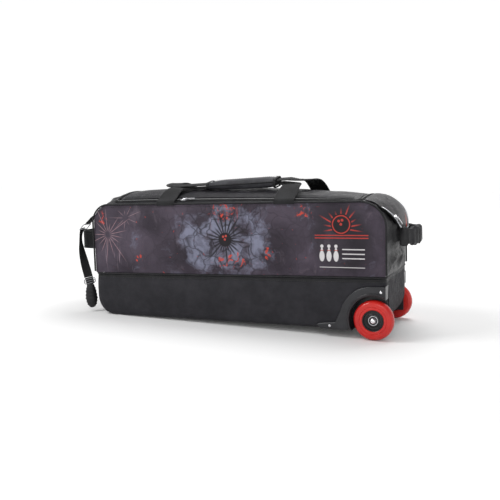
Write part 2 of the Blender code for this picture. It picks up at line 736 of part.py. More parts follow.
def build_pocket(shop):
    top = end_reach(1) - 0.008

    def flap(u, v):
        t = blend(-0.97, 0.97, v)
        low = pocket_line(t) + 0.0045
        return end_point(1, blend(low, top, u), t * POCKET_HALF, POCKET_LIFT)
    shop.shell("pocket_flap", flap, 8, 12, 0.0014, "print")

    def tape(u, v):
        t = blend(-1, 1, v)
        distance = pocket_line(t) + blend(-0.0040, 0.0040, u)
        return end_point(1, distance, t * POCKET_HALF, POCKET_LIFT)
    shop.shell("pocket_zip_tape", tape, 1, 14, 0.0015, "zip")

    start, normal = pocket_place(-0.70)
    end, _ = pocket_place(-0.25)
    middle, _ = pocket_place(-0.475)
    along = (end - start).normalized()
    up = (normal - along * normal.dot(along)).normalized()
    spare = (middle - (start + end) / 2).dot(up)
    place = start + up * (0.0006 + max(spare, 0.0))
    build_slider(shop, "pocket", place, along, up)


def pocket_place(t):
    return end_point(1, pocket_line(t), t * POCKET_HALF, POCKET_LIFT)


# Grab handles and tow strap --------------------------------------------------------------

def grab_path(side, root_x, reach, bow, squareness, steps=20):
    """Plan view of a grab handle that stands out of one end."""
    path = []
    for i in range(steps + 1):
        angle = math.pi * i / steps
        out = bow * math.sin(angle) ** squareness
        cosine = math.cos(angle)
        sweep = -math.copysign(abs(cosine) ** squareness, cosine)
        path.append(Vector((side * (root_x + out), reach * sweep, GRAB_Z[side])))
    return path


def build_grab_handles(shop):
    half = Vector((0, 0, GRAB_WIDTH / 2))
    left = grab_path(-1, HALF_LENGTH + 0.0065, 0.100, 0.070, 0.55)
    shop.ribbon("left_grab_handle", left, [half] * len(left), 0.0035, "webbing")
    right = grab_path(1, HALF_LENGTH + 0.019, 0.058, 0.030, 0.75, 16)
    shop.ribbon("right_grab_handle", right, [half] * len(right), 0.005, "webbing")


def build_tow_strap(shop):
    """A tab, a wire ring in it, and the strap with its adjuster and grip that hang there."""
    inner_bar = Vector(TOW_INNER_BAR)
    outer_bar = Vector(TOW_OUTER_BAR)
    half = Vector((0, TOW_WIDTH / 2, 0))
    tab = [Vector((-0.3775, TOW_Y, 0.2560)), Vector((-0.3865, TOW_Y, 0.2505)),
           Vector((-0.3965, TOW_Y, 0.2420)), inner_bar + Vector((0.0030, 0, 0.0024))]
    shop.ribbon("tow_tab", tab, [half] * 4, 0.0025, "webbing")
    wide = Vector((0, TOW_WIDTH / 2 + 0.004, 0))
    corners = [inner_bar - wide, inner_bar + wide, outer_bar + wide, outer_bar - wide]
    loop = []
    for i, corner in enumerate(corners):
        before = (corners[i - 1] - corner).normalized()
        after = (corners[(i + 1) % 4] - corner).normalized()
        loop += [corner + before * 0.003, corner + after * 0.003]
    shop.tube("tow_ring", loop, TOW_WIRE, "steel", closed=True, origin=inner_bar)

    keys = [
        (-0.4253, TOW_Y, 0.2180, -0.20, 0.98, 0, TOW_WIDTH),
        (-0.4295, TOW_Y, 0.2040, -0.35, 0.94, 0, TOW_WIDTH),
        (-0.4310, TOW_Y, 0.1850, -0.30, 0.95, 0, TOW_WIDTH),
        (-0.4285, TOW_Y, 0.1600, 0.15, 0.99, 0, TOW_WIDTH),
        (-0.4215, TOW_Y, 0.1280, 0.60, 0.80, 0, TOW_WIDTH),
        (-0.4150, TOW_Y, 0.1040, 0.80, 0.60, 0, TOW_WIDTH),
        (-0.4125, TOW_Y, 0.0930, 0.80, 0.60, 0, TOW_WIDTH),
    ]
    build_band(shop, "tow_strap_webbing", smooth_path(keys, 3), 0.0022, "webbing", inner_bar)
    build_adjuster_and_grip(shop, inner_bar)


def build_adjuster_and_grip(shop, pivot):
    """The slide that the strap's end runs through, and the grip below it."""
    along = Vector((0.25, 0, -0.97)).normalized()
    side = Vector((0.80, 0.60, 0)).normalized()
    side = (side - along * side.dot(along)).normalized()
    up = side.cross(along)
    centre = Vector((-0.4088, TOW_Y, 0.0830))
    rings = box_rings(centre, along, side, up, 0.0120, 0.030, 0.0050)
    shop.loft("tow_adjuster", rings, "steel", pivot)

    flat = side.cross(Vector((0, 0, 1))) * GRIP_FLATNESS
    angles = [2 * math.pi * k / 14 for k in range(14)]
    rings = []
    for share, radius in ((0.0, 0.006), (0.08, 0.010), (0.30, 0.0135), (0.60, 0.0155),
                          (0.85, 0.0125), (0.95, 0.008), (1.0, 0.004)):
        centre = Vector(GRIP_TOP).lerp(Vector(GRIP_END), share)
        rings.append([centre + (side * math.cos(a) + flat * math.sin(a)) * radius for a in angles])
    shop.loft("tow_grip", rings, "moulding", pivot)


# Whole bag -------------------------------------------------------------------------------

def standing_tilt():
    """The tilt that puts both the wheels and the rounded heel on the floor."""
    run = WHEEL_X + HALF_LENGTH - HEEL_RADIUS
    drop = WHEEL_Z - HEEL_RADIUS
    return math.asin((WHEEL_RADIUS - HEEL_RADIUS) / math.hypot(run, drop)) - math.atan2(drop, run)


def stand_on_floor(bag_frame):
    """Moves the bag until its box stands on the floor, with the origin at its middle."""
    bpy.context.view_layer.update()
    graph = bpy.context.evaluated_depsgraph_get()
    points = []
    for piece in bpy.data.objects:
        if piece.type == "EMPTY" or piece.hide_render:
            continue
        shape = piece.evaluated_get(graph)
        mesh = shape.to_mesh()
        points += [shape.matrix_world @ vertex.co for vertex in mesh.vertices]
        shape.to_mesh_clear()
    low = [min(p[i] for p in points) for i in range(3)]
    high = [max(p[i] for p in points) for i in range(3)]
    bag_frame.location -= Vector(((low[0] + high[0]) / 2, (low[1] + high[1]) / 2, low[2]))


def main():
    clear_scene()
    bag_frame = make_empty("bag_frame")
    bag_frame.rotation_euler = (0, -standing_tilt(), 0)
    shop = Workshop(bag_frame)
    build_base(shop)
    build_panels(shop)
    build_piping(shop)
    build_top(shop)
    build_inside(shop)
    for side, name in ((-1, "near_wheel"), (1, "far_wheel")):
        build_wheel(shop, side, name)
    build_carry_handles(shop)
    build_zips(shop)
    build_pocket(shop)
    build_grab_handles(shop)
    build_tow_strap(shop)
    stand_on_floor(bag_frame)


main()
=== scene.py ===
"""Rolling three-ball bowling bag: its visible pieces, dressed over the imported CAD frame.

Metres, +Z up. Most pieces are drawn in the bag's own frame, the one that the CAD is drawn in:
x runs along the bag towards the wheels, y from the front face (negative) to the back, and z
up from the underside of the base. BAG places that frame in the world, because the bag stands
tilted on its two wheels and on the rounded heel at its other end.
"""
import json
import math

import bmesh
import bpy
from mathutils import Matrix, Vector, noise


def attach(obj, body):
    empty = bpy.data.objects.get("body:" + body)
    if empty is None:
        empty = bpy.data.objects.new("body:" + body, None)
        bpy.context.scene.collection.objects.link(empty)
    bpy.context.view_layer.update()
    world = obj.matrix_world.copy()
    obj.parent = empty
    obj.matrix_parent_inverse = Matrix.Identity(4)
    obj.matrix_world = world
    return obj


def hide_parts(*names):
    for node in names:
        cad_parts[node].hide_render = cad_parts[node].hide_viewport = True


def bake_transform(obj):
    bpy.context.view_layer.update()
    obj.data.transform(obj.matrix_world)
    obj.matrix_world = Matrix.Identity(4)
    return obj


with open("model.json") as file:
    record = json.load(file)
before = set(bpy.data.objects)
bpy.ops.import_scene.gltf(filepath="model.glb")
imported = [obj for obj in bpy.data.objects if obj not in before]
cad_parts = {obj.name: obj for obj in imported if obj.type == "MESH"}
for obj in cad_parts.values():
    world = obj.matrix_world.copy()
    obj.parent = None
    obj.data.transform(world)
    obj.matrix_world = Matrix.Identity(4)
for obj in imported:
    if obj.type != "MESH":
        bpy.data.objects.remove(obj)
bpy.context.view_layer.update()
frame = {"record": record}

# The bag's frame, from the base's mount and the axis of the lid's hinge
RECORD = frame["record"]
JOINTS = {joint["name"]: joint for joint in RECORD["behaviour"]["joints"]}
BAG_ORIGIN = Vector(RECORD["mounts"][0]["pos_m"])
BAG_X = -Vector(JOINTS["lid_hinge"]["axis"]).normalized()
BAG_Y = Vector((0, 1, 0))
BAG_Z = BAG_X.cross(BAG_Y)
BAG = Matrix((BAG_X, BAG_Y, BAG_Z)).transposed().to_4x4()
BAG.translation = BAG_ORIGIN

# The CAD's driving sizes
BAG_LENGTH = 0.747
BAG_WIDTH = 0.250
PANEL_TOP = 0.281
SEAM_LEFT = 0.107
SEAM_RIGHT = 0.118
HEEL_RADIUS = 0.045
SHOULDER_RADIUS = {-1: 0.045, 1: 0.055}
END_BULGE = {-1: 0.010, 1: 0.0185}
FOOT_BULGE = 0.005
CROWN = 0.0385
CROWN_PEAK_X = -0.20
CROWN_REACH = {-1: 0.21, 1: 0.60}
FABRIC = 0.003
GAP = 0.0003
HALF_LENGTH = BAG_LENGTH / 2
HALF_WIDTH = BAG_WIDTH / 2
FACE_IN = HALF_WIDTH - FABRIC - GAP
LID_END = 0.3175
STRIP_EDGE = 0.1125
ZIP_MIDDLE = 0.1060
ZIP_TAPE = 0.0060
LID_HINGE_Y = 0.1015
HINGE_GAP = 0.003
PIPING_RADIUS = 0.0022
SEAM_ROOM = 0.0028
WHEEL_RADIUS = 0.04445
WHEEL_WIDTH = 0.0254
WHEEL_X = 0.347
WHEEL_Z = 0.0245
WHEEL_PROUD = 0.008
ARCH_INNER = 0.0535
ARCH_OUTER = 0.0755
WELL_DEPTH = 0.0285
CHEEK = 0.004
FOOT_RIVET = (0.250, 0.0085)
FOOT_CORNER_X = 0.2995
BEARING_RADIUS = 0.011
HUB_RADIUS = 0.0235
HANDLE_WIDTH = 0.050
WRAP_WEBBING_WIDTH = 0.034
HANDLE_PIVOT_Y = 0.121
HANDLE_PIVOT_Z = 0.292
LEG_X = {-1: (-0.160, 0.146), 1: (-0.200, 0.165)}
HANDLE_TURN = 0.036
LEG_HUMP = 0.006
WRAP_LEFT = -0.086
WRAP_RIGHT = 0.104
WRAP_WIDTH = 0.044
WRAP_HEIGHT = 0.012
WRAP_Y = -0.036
WRAP_Z_LEFT = 0.3285
WRAP_Z_RIGHT = 0.3355
WRAP_LEAN = math.radians(10)
PAD_LEFT = 0.0180
PAD_RIGHT = 0.0235
GRAB_Z = {-1: 0.192, 1: 0.203}
GRAB_WIDTH = 0.046
TOW_Y = -0.108
TOW_WIDTH = 0.022
BOARD = 0.004
BOARD_ROOM = 0.003
BOARD_RIGHT = 0.262
BOARD_CHAMFER = 0.0008
CUP_HEIGHT = 0.030
CUP_HOLE = 0.072
COMPARTMENT = 0.243
DIVIDER = 0.006
POCKET_HALF = 0.112
POCKET_DIP = 0.090
POCKET_RISE = 0.152
POCKET_LIFT = 0.0032
PATCH_TOP = (0.018, 0.126)

BLACK_INK = (0.012, 0.010, 0.013)
RED_INK = (0.42, 0.040, 0.030)
WHITE_INK = (0.62, 0.60, 0.61)
PALE_CLOUD = (0.215, 0.225, 0.310)
MIDDLE_BALL = (-0.002, 0.198)
EMBLEM_BALL = (0.278, 0.234)
STRAP = 0.0025

UP = Vector((0, 0, 1))
ACROSS = Vector((0, 1, 0))
ALONG = Vector((1, 0, 0))


# Camera, light and floor -----------------------------------------------------------------

CAMERA_LENS = 46.775
CAMERA_PLACE = (0.6546, -1.506, 0.3623)
CAMERA_TILT = 0.1174
CAMERA_TURN = 0.3980
FLOOR_REACH = 12.0
# Name, place, target, size and power of each area light
LIGHTS = (("key", (-1.5, -1.2, 2.2), (0.0, 0.0, 0.15), 1.1, 42),
          ("fill", (0.9, -2.5, 1.3), (0.1, 0.0, 0.15), 1.0, 14),
          ("top", (0.3, 0.7, 2.2), (0.0, 0.0, 0.2), 1.4, 39))


def build_stage():
    scene = bpy.context.scene
    scene.view_settings.view_transform = "Standard"
    camera_data = bpy.data.cameras.new("camera")
    camera_data.lens = CAMERA_LENS
    camera_data.sensor_width = 36.0
    camera = bpy.data.objects.new("camera", camera_data)
    camera.location = CAMERA_PLACE
    camera.rotation_euler = (math.pi / 2 - CAMERA_TILT, 0, CAMERA_TURN)
    scene.collection.objects.link(camera)
    scene.camera = camera

    build_sky(scene)
    for name, place, target, size, power in LIGHTS:
        data = bpy.data.lights.new(name, "AREA")
        data.size = size
        data.energy = power
        light = bpy.data.objects.new(name, data)
        light.location = place
        light.rotation_euler = (Vector(target) - Vector(place)).to_track_quat("-Z", "Y").to_euler()
        scene.collection.objects.link(light)
    build_floor(scene)


def build_sky(scene):
    """White light all round, brightest at the horizon."""
    world = bpy.data.worlds.new("studio")
    world.use_nodes = True
    tree = world.node_tree
    coords = tree.nodes.new("ShaderNodeTexCoord")
    split = tree.nodes.new("ShaderNodeSeparateXYZ")
    fade = tree.nodes.new("ShaderNodeMapRange")
    fade.interpolation_type = "SMOOTHSTEP"
    tree.links.new(coords.outputs["Generated"], split.inputs[0])
    tree.links.new(split.outputs["Z"], fade.inputs["Value"])
    for key, value in (("From Min", 0.20), ("From Max", 0.60), ("To Min", 1.02), ("To Max", 0.42)):
        fade.inputs[key].default_value = value
    tree.links.new(fade.outputs["Result"], tree.nodes["Background"].inputs["Strength"])
    tree.nodes["Background"].inputs["Color"].default_value = (1, 1, 1, 1)
    scene.world = world


def build_floor(scene):
    """A pale sheet that glows a little away from the bag, so that it runs into the sky."""
    data = bpy.data.meshes.new("floor")
    corners = ((-1, -1), (1, -1), (1, 1), (-1, 1))
    data.from_pydata([(x * FLOOR_REACH, y * FLOOR_REACH, 0) for x, y in corners], [], [(0, 1, 2, 3)])
    floor = bpy.data.objects.new("floor", data)
    look = Look("floor_paper", (0.72, 0.72, 0.72), 0.9, Specular_IOR_Level=0.1,
                Emission_Color=(1, 1, 1, 1))
    away = look.node("ShaderNodeVectorMath", {0: look.coords()}, operation="LENGTH").outputs["Value"]
    look.set("Emission Strength", look.fade(away, 0.6, 2.6, 0.03, 0.62))
    data.materials.append(look.material)
    scene.collection.objects.link(floor)


# Materials -------------------------------------------------------------------------------

class Look:
    """A node material, with short ways to add to it."""

    def __init__(self, name, colour=(0.5, 0.5, 0.5), roughness=0.6, **sockets):
        self.material = bpy.data.materials.new(name)
        self.material.use_nodes = True
        self.tree = self.material.node_tree
        self.shader = self.tree.nodes["Principled BSDF"]
        self.set("Base Color", (*colour, 1.0))
        self.set("Roughness", roughness)
        for key, value in sockets.items():
            self.set(key.replace("_", " "), value)

    def set(self, socket, value):
        if isinstance(value, bpy.types.NodeSocket):
            self.tree.links.new(value, self.shader.inputs[socket])
        else:
            self.shader.inputs[socket].default_value = value

    def node(self, kind, inputs=(), **settings):
        made = self.tree.nodes.new(kind)
        for key, value in settings.items():
            setattr(made, key, value)
        for key, value in dict(inputs).items():
            if isinstance(value, bpy.types.NodeSocket):
                self.tree.links.new(value, made.inputs[key])
            else:
                made.inputs[key].default_value = value
        return made

    def math(self, operation, a, b=0.0):
        return self.node("ShaderNodeMath", {0: a, 1: b}, operation=operation).outputs[0]

    def plus(self, a, b):
        return self.math("ADD", a, b)

    def minus(self, a, b):
        return self.math("SUBTRACT", a, b)

    def times(self, *values):
        total = values[0]
        for value in values[1:]:
            total = self.math("MULTIPLY", total, value)
        return total

    def largest(self, values):
        total = values[0]
        for value in values[1:]:
            total = self.math("MAXIMUM", total, value)
        return total

    def coords(self, kind="Object"):
        return self.node("ShaderNodeTexCoord").outputs[kind]

    def parts(self, vector):
        return self.node("ShaderNodeSeparateXYZ", {0: vector}).outputs

    def vector(self, x, y=0.0, z=0.0):
        return self.node("ShaderNodeCombineXYZ", {0: x, 1: y, 2: z}).outputs[0]

    def scaled(self, vector, factors):
        return self.node("ShaderNodeVectorMath", {0: vector, 1: factors}, operation="MULTIPLY").outputs[0]

    def noise(self, vector, scale, detail=3.0, roughness=0.5, distortion=0.0):
        inputs = {"Vector": vector, "Scale": scale, "Detail": detail, "Roughness": roughness,
                  "Distortion": distortion}
        return self.node("ShaderNodeTexNoise", inputs).outputs["Fac"]

    def fade(self, value, start, end, low=0.0, high=1.0):
        """Goes smoothly from low to high as the value goes from start to end."""
        inputs = {"Value": value, "From Min": start, "From Max": end, "To Min": low, "To Max": high}
        return self.node("ShaderNodeMapRange", inputs, interpolation_type="SMOOTHSTEP").outputs["Result"]

    def mix(self, factor, a, b):
        def colour(value):
            return value if isinstance(value, bpy.types.NodeSocket) else (*value, 1.0)
        inputs = {0: factor, 6: colour(a), 7: colour(b)}
        return self.node("ShaderNodeMix", inputs, data_type="RGBA").outputs[2]

    def bump(self, height, distance, strength=1.0, normal=None):
        inputs = {"Height": height, "Distance": distance, "Strength": strength}
        if normal:
            inputs["Normal"] = normal
        return self.node("ShaderNodeBump", inputs).outputs["Normal"]

    def weave(self, pitch):
        """Over-and-under threads on the UV map, which is in metres."""
        x, y, _ = self.parts(self.coords("UV"))
        turn = 2 * math.pi / pitch
        across = self.math("SINE", self.times(x, turn))
        along = self.math("SINE", self.times(y, turn))
        return self.times(across, along)


def cloth(name, dark, light, roughness, pitch=0.0016, depth=0.0002, crumple=0.0006, crumple_scale=42.0,
          **sockets):
    """Woven cloth: two shades, a weave, fine crumples and a roughness that varies."""
    look = Look(name, dark, roughness, **sockets)
    place = look.coords()
    threads = look.weave(pitch)
    shade = look.noise(place, 16.0, 6.0, 0.6)
    worn = look.fade(shade, 0.35, 0.70)
    colour = look.mix(worn, dark, light)
    colour = look.mix(look.fade(threads, -1.0, 1.0, 0.0, 0.35), colour, [c * 0.55 for c in dark])
    look.set("Base Color", colour)
    look.set("Roughness", look.fade(look.noise(place, 70.0, 4.0), 0.3, 0.7, roughness - 0.08,
                                    min(roughness + 0.08, 1.0)))
    folds = look.bump(look.noise(place, crumple_scale, 4.0, 0.55, 0.6), crumple * 8, 0.55)
    look.set("Normal", look.bump(threads, depth, 0.6, folds))
    return look.material


def webbing_look():
    """Flat webbing: ribs across the band, fine threads along it."""
    look = Look("webbing", (0.02, 0.02, 0.02), 0.70, Specular_IOR_Level=0.25)
    length, width, _ = look.parts(look.coords("UV"))
    ribs = look.math("SINE", look.times(length, 2 * math.pi / 0.0026))
    threads = look.math("SINE", look.times(width, 2 * math.pi / 0.0018))
    height = look.plus(ribs, look.times(threads, 0.5))
    worn = look.fade(look.noise(look.coords(), 30.0, 5.0), 0.4, 0.75)
    colour = look.mix(worn, (0.0065, 0.0065, 0.0075), (0.016, 0.016, 0.018))
    look.set("Base Color", look.mix(look.fade(height, -1.4, 1.4, 0.0, 0.4), colour, (0.006, 0.006, 0.006)))
    look.set("Normal", look.bump(height, 0.00035, 0.8))
    return look.material


def moulded(name, dark, light, roughness, grain=900.0, depth=0.0001, **sockets):
    """Moulded plastic or rubber: a fine grain, slight mottling and scuffs."""
    look = Look(name, dark, roughness, **sockets)
    place = look.coords()
    mottle = look.fade(look.noise(place, 35.0, 5.0), 0.35, 0.7)
    scuff = look.fade(look.noise(look.scaled(place, (1.0, 1.0, 6.0)), 60.0, 8.0, 0.7), 0.60, 0.72)
    colour = look.mix(mottle, dark, light)
    pale = [c * 1.6 + 0.01 for c in light]
    look.set("Base Color", look.mix(look.times(scuff, 0.25), colour, pale))
    look.set("Roughness", look.fade(scuff, 0.0, 1.0, roughness, min(roughness + 0.18, 1.0)))
    look.set("Normal", look.bump(look.noise(place, grain, 2.0), depth, 0.5))
    return look.material


def metal(name, colour, roughness, brush=(1.0, 1.0, 14.0)):
    look = Look(name, colour, roughness, Metallic=1.0)
    lines = look.noise(look.scaled(look.coords(), brush), 180.0, 5.0, 0.6)
    look.set("Roughness", look.fade(lines, 0.3, 0.7, roughness * 0.7, roughness * 1.4))
    look.set("Base Color", look.mix(look.fade(lines, 0.2, 0.8), [c * 0.8 for c in colour], colour))
    look.set("Normal", look.bump(lines, 0.00005, 0.4))
    return look.material


class Print(Look):
    """The printed sides' material. Its UV map is the bag's x and z, in metres, and each step
    paints over the colour so far."""

    def __init__(self, name, colour, roughness, **sockets):
        super().__init__(name, colour, roughness, **sockets)
        self.flat = self.coords("UV")
        self.x, self.z, _ = self.parts(self.flat)
        self.warped_x = self.plus(self.x, self.wander(self.flat))
        elsewhere = self.vector(self.plus(self.x, 3.7), self.plus(self.z, 1.9))
        self.warped_z = self.plus(self.z, self.wander(elsewhere))
        self.warped = self.vector(self.warped_x, self.warped_z)
        self.colour = colour

    def wander(self, place):
        """A slow random shift, to either side."""
        return self.times(self.minus(self.noise(place, 13.0, 5.0), 0.5), 0.07)

    def paint(self, mask, colour, strength=1.0):
        mask = mask if strength == 1.0 else self.times(mask, strength)
        self.colour = self.mix(mask, self.colour, colour)

    def away(self, px, pz, centre, reach_x=1.0, reach_z=1.0):
        """Distance from a centre, in shares of the reach each way."""
        dx = self.math("DIVIDE", self.minus(px, centre[0]), reach_x)
        dz = self.math("DIVIDE", self.minus(pz, centre[1]), reach_z)
        return self.math("SQRT", self.plus(self.times(dx, dx), self.times(dz, dz)))

    def spot(self, centre, reach_x, reach_z, core=0.3, rim=1.0):
        """1 inside an oval, and 0 outside it."""
        return self.fade(self.away(self.x, self.z, centre, reach_x, reach_z), core, rim, 1.0, 0.0)

    def disc(self, centre, radius, edge=0.0006):
        return self.spot(centre, radius, radius, 1.0 - edge / radius, 1.0 + edge / radius)

    def stripe(self, left, right, low, high, edge=0.0005):
        return self.times(self.fade(self.x, left - edge, left + edge),
                          self.fade(self.x, right - edge, right + edge, 1, 0),
                          self.fade(self.z, low - edge, low + edge),
                          self.fade(self.z, high - edge, high + edge, 1, 0))

    def holes(self, centre, size):
        """The three finger holes of a ball."""
        return self.largest([self.disc((centre[0] + size * a, centre[1] + size * b), size * 0.17, 0.0004)
                             for a, b in ((-0.28, 0.42), (0.14, 0.52), (-0.02, 0.02))])

    def burst(self, centre, spokes, shortest, longest, width, seed):
        """Straight streaks of uneven length that run out from one place."""
        dx = self.minus(self.x, centre[0])
        dz = self.minus(self.z, centre[1])
        reach = self.math("SQRT", self.plus(self.times(dx, dx), self.times(dz, dz)))
        angle = self.math("ARCTAN2", dz, dx)
        turn = self.plus(self.times(angle, spokes / (2 * math.pi)), 50.0)
        chance = self.node("ShaderNodeTexWhiteNoise", {"W": self.plus(self.math("FLOOR", turn), seed)},
                           noise_dimensions="1D").outputs["Value"]
        off = self.math("ABSOLUTE", self.minus(self.math("FRACT", turn), 0.5))
        line = self.fade(self.times(off, reach, 2 * math.pi / spokes), width * 0.35, width, 1.0, 0.0)
        length = self.plus(self.times(chance, longest - shortest), shortest)
        share = self.math("DIVIDE", reach, length)
        return self.times(line, self.fade(share, 0.55, 1.0, 1.0, 0.0), self.fade(reach, 0.006, 0.014))


def paint_clouds(look):
    """Plum cloth, blue-grey clouds that gather round the middle, cracks and upright drips."""
    mottle = look.fade(look.noise(look.warped, 9.0, 6.0), 0.32, 0.70)
    look.colour = look.mix(mottle, (0.024, 0.018, 0.027), (0.072, 0.056, 0.078))
    middle = look.fade(look.away(look.warped_x, look.warped_z, (-0.005, 0.195), 0.215, 0.150),
                       0.15, 1.0, 1.0, 0.0)
    cloud = look.noise(look.warped, 17.0, 9.0, 0.64)
    look.paint(look.fade(look.plus(cloud, look.times(middle, 0.22)), 0.57, 0.80), PALE_CLOUD, 0.85)
    faint = look.noise(look.scaled(look.warped, (1.0, 0.5, 1.0)), 34.0, 8.0, 0.6)
    look.paint(look.fade(faint, 0.56, 0.74), (0.190, 0.150, 0.185), 0.30)
    cracks = look.node("ShaderNodeTexVoronoi", {"Vector": look.warped, "Scale": 34.0},
                       feature="DISTANCE_TO_EDGE").outputs["Distance"]
    near = look.plus(look.times(middle, 0.62), 0.16)
    look.paint(look.times(look.fade(cracks, 0.0, 0.07, 1.0, 0.0), near), (0.014, 0.011, 0.015))

    drips = look.noise(look.vector(look.times(look.x, 230.0), look.times(look.z, 9.0)), 1.0, 2.0)
    pale = look.times(look.fade(drips, 0.64, 0.70), look.spot((-0.315, 0.165), 0.07, 0.075, 0.5))
    look.paint(pale, (0.34, 0.25, 0.30), 0.55)
    red = look.times(look.fade(drips, 0.62, 0.68), look.spot((0.015, 0.235), 0.075, 0.055, 0.4))
    look.paint(red, (0.34, 0.030, 0.020), 0.8)


def paint_flecks(look):
    """Red flecks, thickest in a few places."""
    flecks = look.noise(look.warped, 88.0, 7.0, 0.68)
    places = look.largest([look.spot((x, z), reach_x, reach_z) for x, z, reach_x, reach_z in (
        (0.000, 0.264, 0.060, 0.032), (0.106, 0.170, 0.030, 0.030), (-0.240, 0.150, 0.022, 0.018),
        (-0.345, 0.252, 0.026, 0.026), (0.015, 0.150, 0.060, 0.035), (0.190, 0.262, 0.030, 0.022))])
    look.paint(look.fade(look.plus(flecks, look.times(places, 0.120)), 0.65, 0.70),
               (0.55, 0.055, 0.030), 0.85)


def paint_bursts(look):
    """Pale bursts near the left end, and a dark one round a ball in the middle."""
    look.paint(look.burst((-0.330, 0.208), 17, 0.028, 0.110, 0.0010, 3.0), (0.50, 0.30, 0.33), 0.50)
    look.paint(look.burst((-0.276, 0.250), 9, 0.020, 0.060, 0.0008, 8.0), (0.46, 0.30, 0.33), 0.45)
    look.paint(look.burst(MIDDLE_BALL, 23, 0.035, 0.085, 0.0030, 21.0), (0.010, 0.008, 0.010), 0.85)
    look.paint(look.disc(MIDDLE_BALL, 0.0165), BLACK_INK)
    look.paint(look.holes(MIDDLE_BALL, 0.0165), (0.42, 0.06, 0.045))


def paint_emblem(look):
    """A rising ball over two lines, with three pins and plain lines below."""
    look.paint(look.spot((0.278, 0.200), 0.085, 0.090, 0.6), BLACK_INK, 0.55)
    rays = look.burst((0.278, 0.226), 18, 0.040, 0.062, 0.0020, 5.0)
    look.paint(look.times(rays, look.fade(look.z, 0.216, 0.222)), RED_INK)
    look.paint(look.disc(EMBLEM_BALL, 0.0235), BLACK_INK)
    look.paint(look.minus(look.disc(EMBLEM_BALL, 0.0205), look.disc(EMBLEM_BALL, 0.0180)), RED_INK)
    look.paint(look.holes(EMBLEM_BALL, 0.0180), RED_INK)
    for low in (0.2030, 0.2090):
        look.paint(look.stripe(0.218, 0.338, low, low + 0.0022), RED_INK)
    marks, collars = [], []
    for x in (0.234, 0.250, 0.266):
        marks += [look.spot((x, 0.164), 0.0058, 0.0120, 0.93, 1.07),
                  look.spot((x, 0.1765), 0.0026, 0.0070, 0.93, 1.07), look.disc((x, 0.1860), 0.0037)]
        collars.append(look.stripe(x - 0.004, x + 0.004, 0.1760, 0.1775))
    marks += [look.stripe(0.280, 0.330, low, low + 0.0024) for low in (0.158, 0.168, 0.178)]
    look.paint(look.largest(marks), WHITE_INK)
    look.paint(look.largest(collars), RED_INK)
    look.paint(look.stripe(0.228, 0.330, 0.1385, 0.1400), WHITE_INK)


def print_look():
    look = Print("print", (0.05, 0.04, 0.05), 0.55, Specular_IOR_Level=0.20)
    paint_clouds(look)
    paint_flecks(look)
    paint_bursts(look)
    paint_emblem(look)
    threads = look.weave(0.0020)
    look.paint(look.fade(threads, -1.0, 1.0, 0.0, 0.22), (0.008, 0.007, 0.009))
    look.set("Base Color", look.colour)
    look.set("Roughness", look.fade(look.noise(look.flat, 60.0, 4.0), 0.3, 0.7, 0.42, 0.58))
    folds = look.bump(look.noise(look.coords(), 14.0, 4.0, 0.5, 0.4), 0.006, 0.5)
    look.set("Normal", look.bump(threads, 0.00022, 0.6, folds))
    return look.material


def end_print_look():
    """The pocket flap's print: dark cloth with a few sharp red shapes."""
    look = Look("end_print", (0.02, 0.02, 0.02), 0.42, Specular_IOR_Level=0.35)
    flat = look.coords("UV")
    sides = look.parts(flat)
    run, rise = sides[0], sides[1]
    middle = look.math("ABSOLUTE", look.minus(run, PATCH_TOP[0]))
    height = look.minus(PATCH_TOP[1], rise)
    edge = look.minus(look.times(height, 0.45), middle)
    shapes = look.times(look.fade(edge, 0.0, 0.0012), look.fade(height, 0.0420, 0.0405))
    streaks = look.fade(look.noise(look.scaled(flat, (1.0, 4.0, 1.0)), 50.0, 5.0), 0.52, 0.66)
    colour = look.mix(streaks, (0.009, 0.008, 0.010), (0.045, 0.038, 0.048))
    look.set("Base Color", look.mix(look.times(shapes, 0.9), colour, (0.50, 0.045, 0.025)))
    folds = look.bump(look.noise(look.coords(), 30.0, 4.0), 0.004, 0.5)
    look.set("Normal", look.bump(look.weave(0.0018), 0.0002, 0.6, folds))
    return look.material


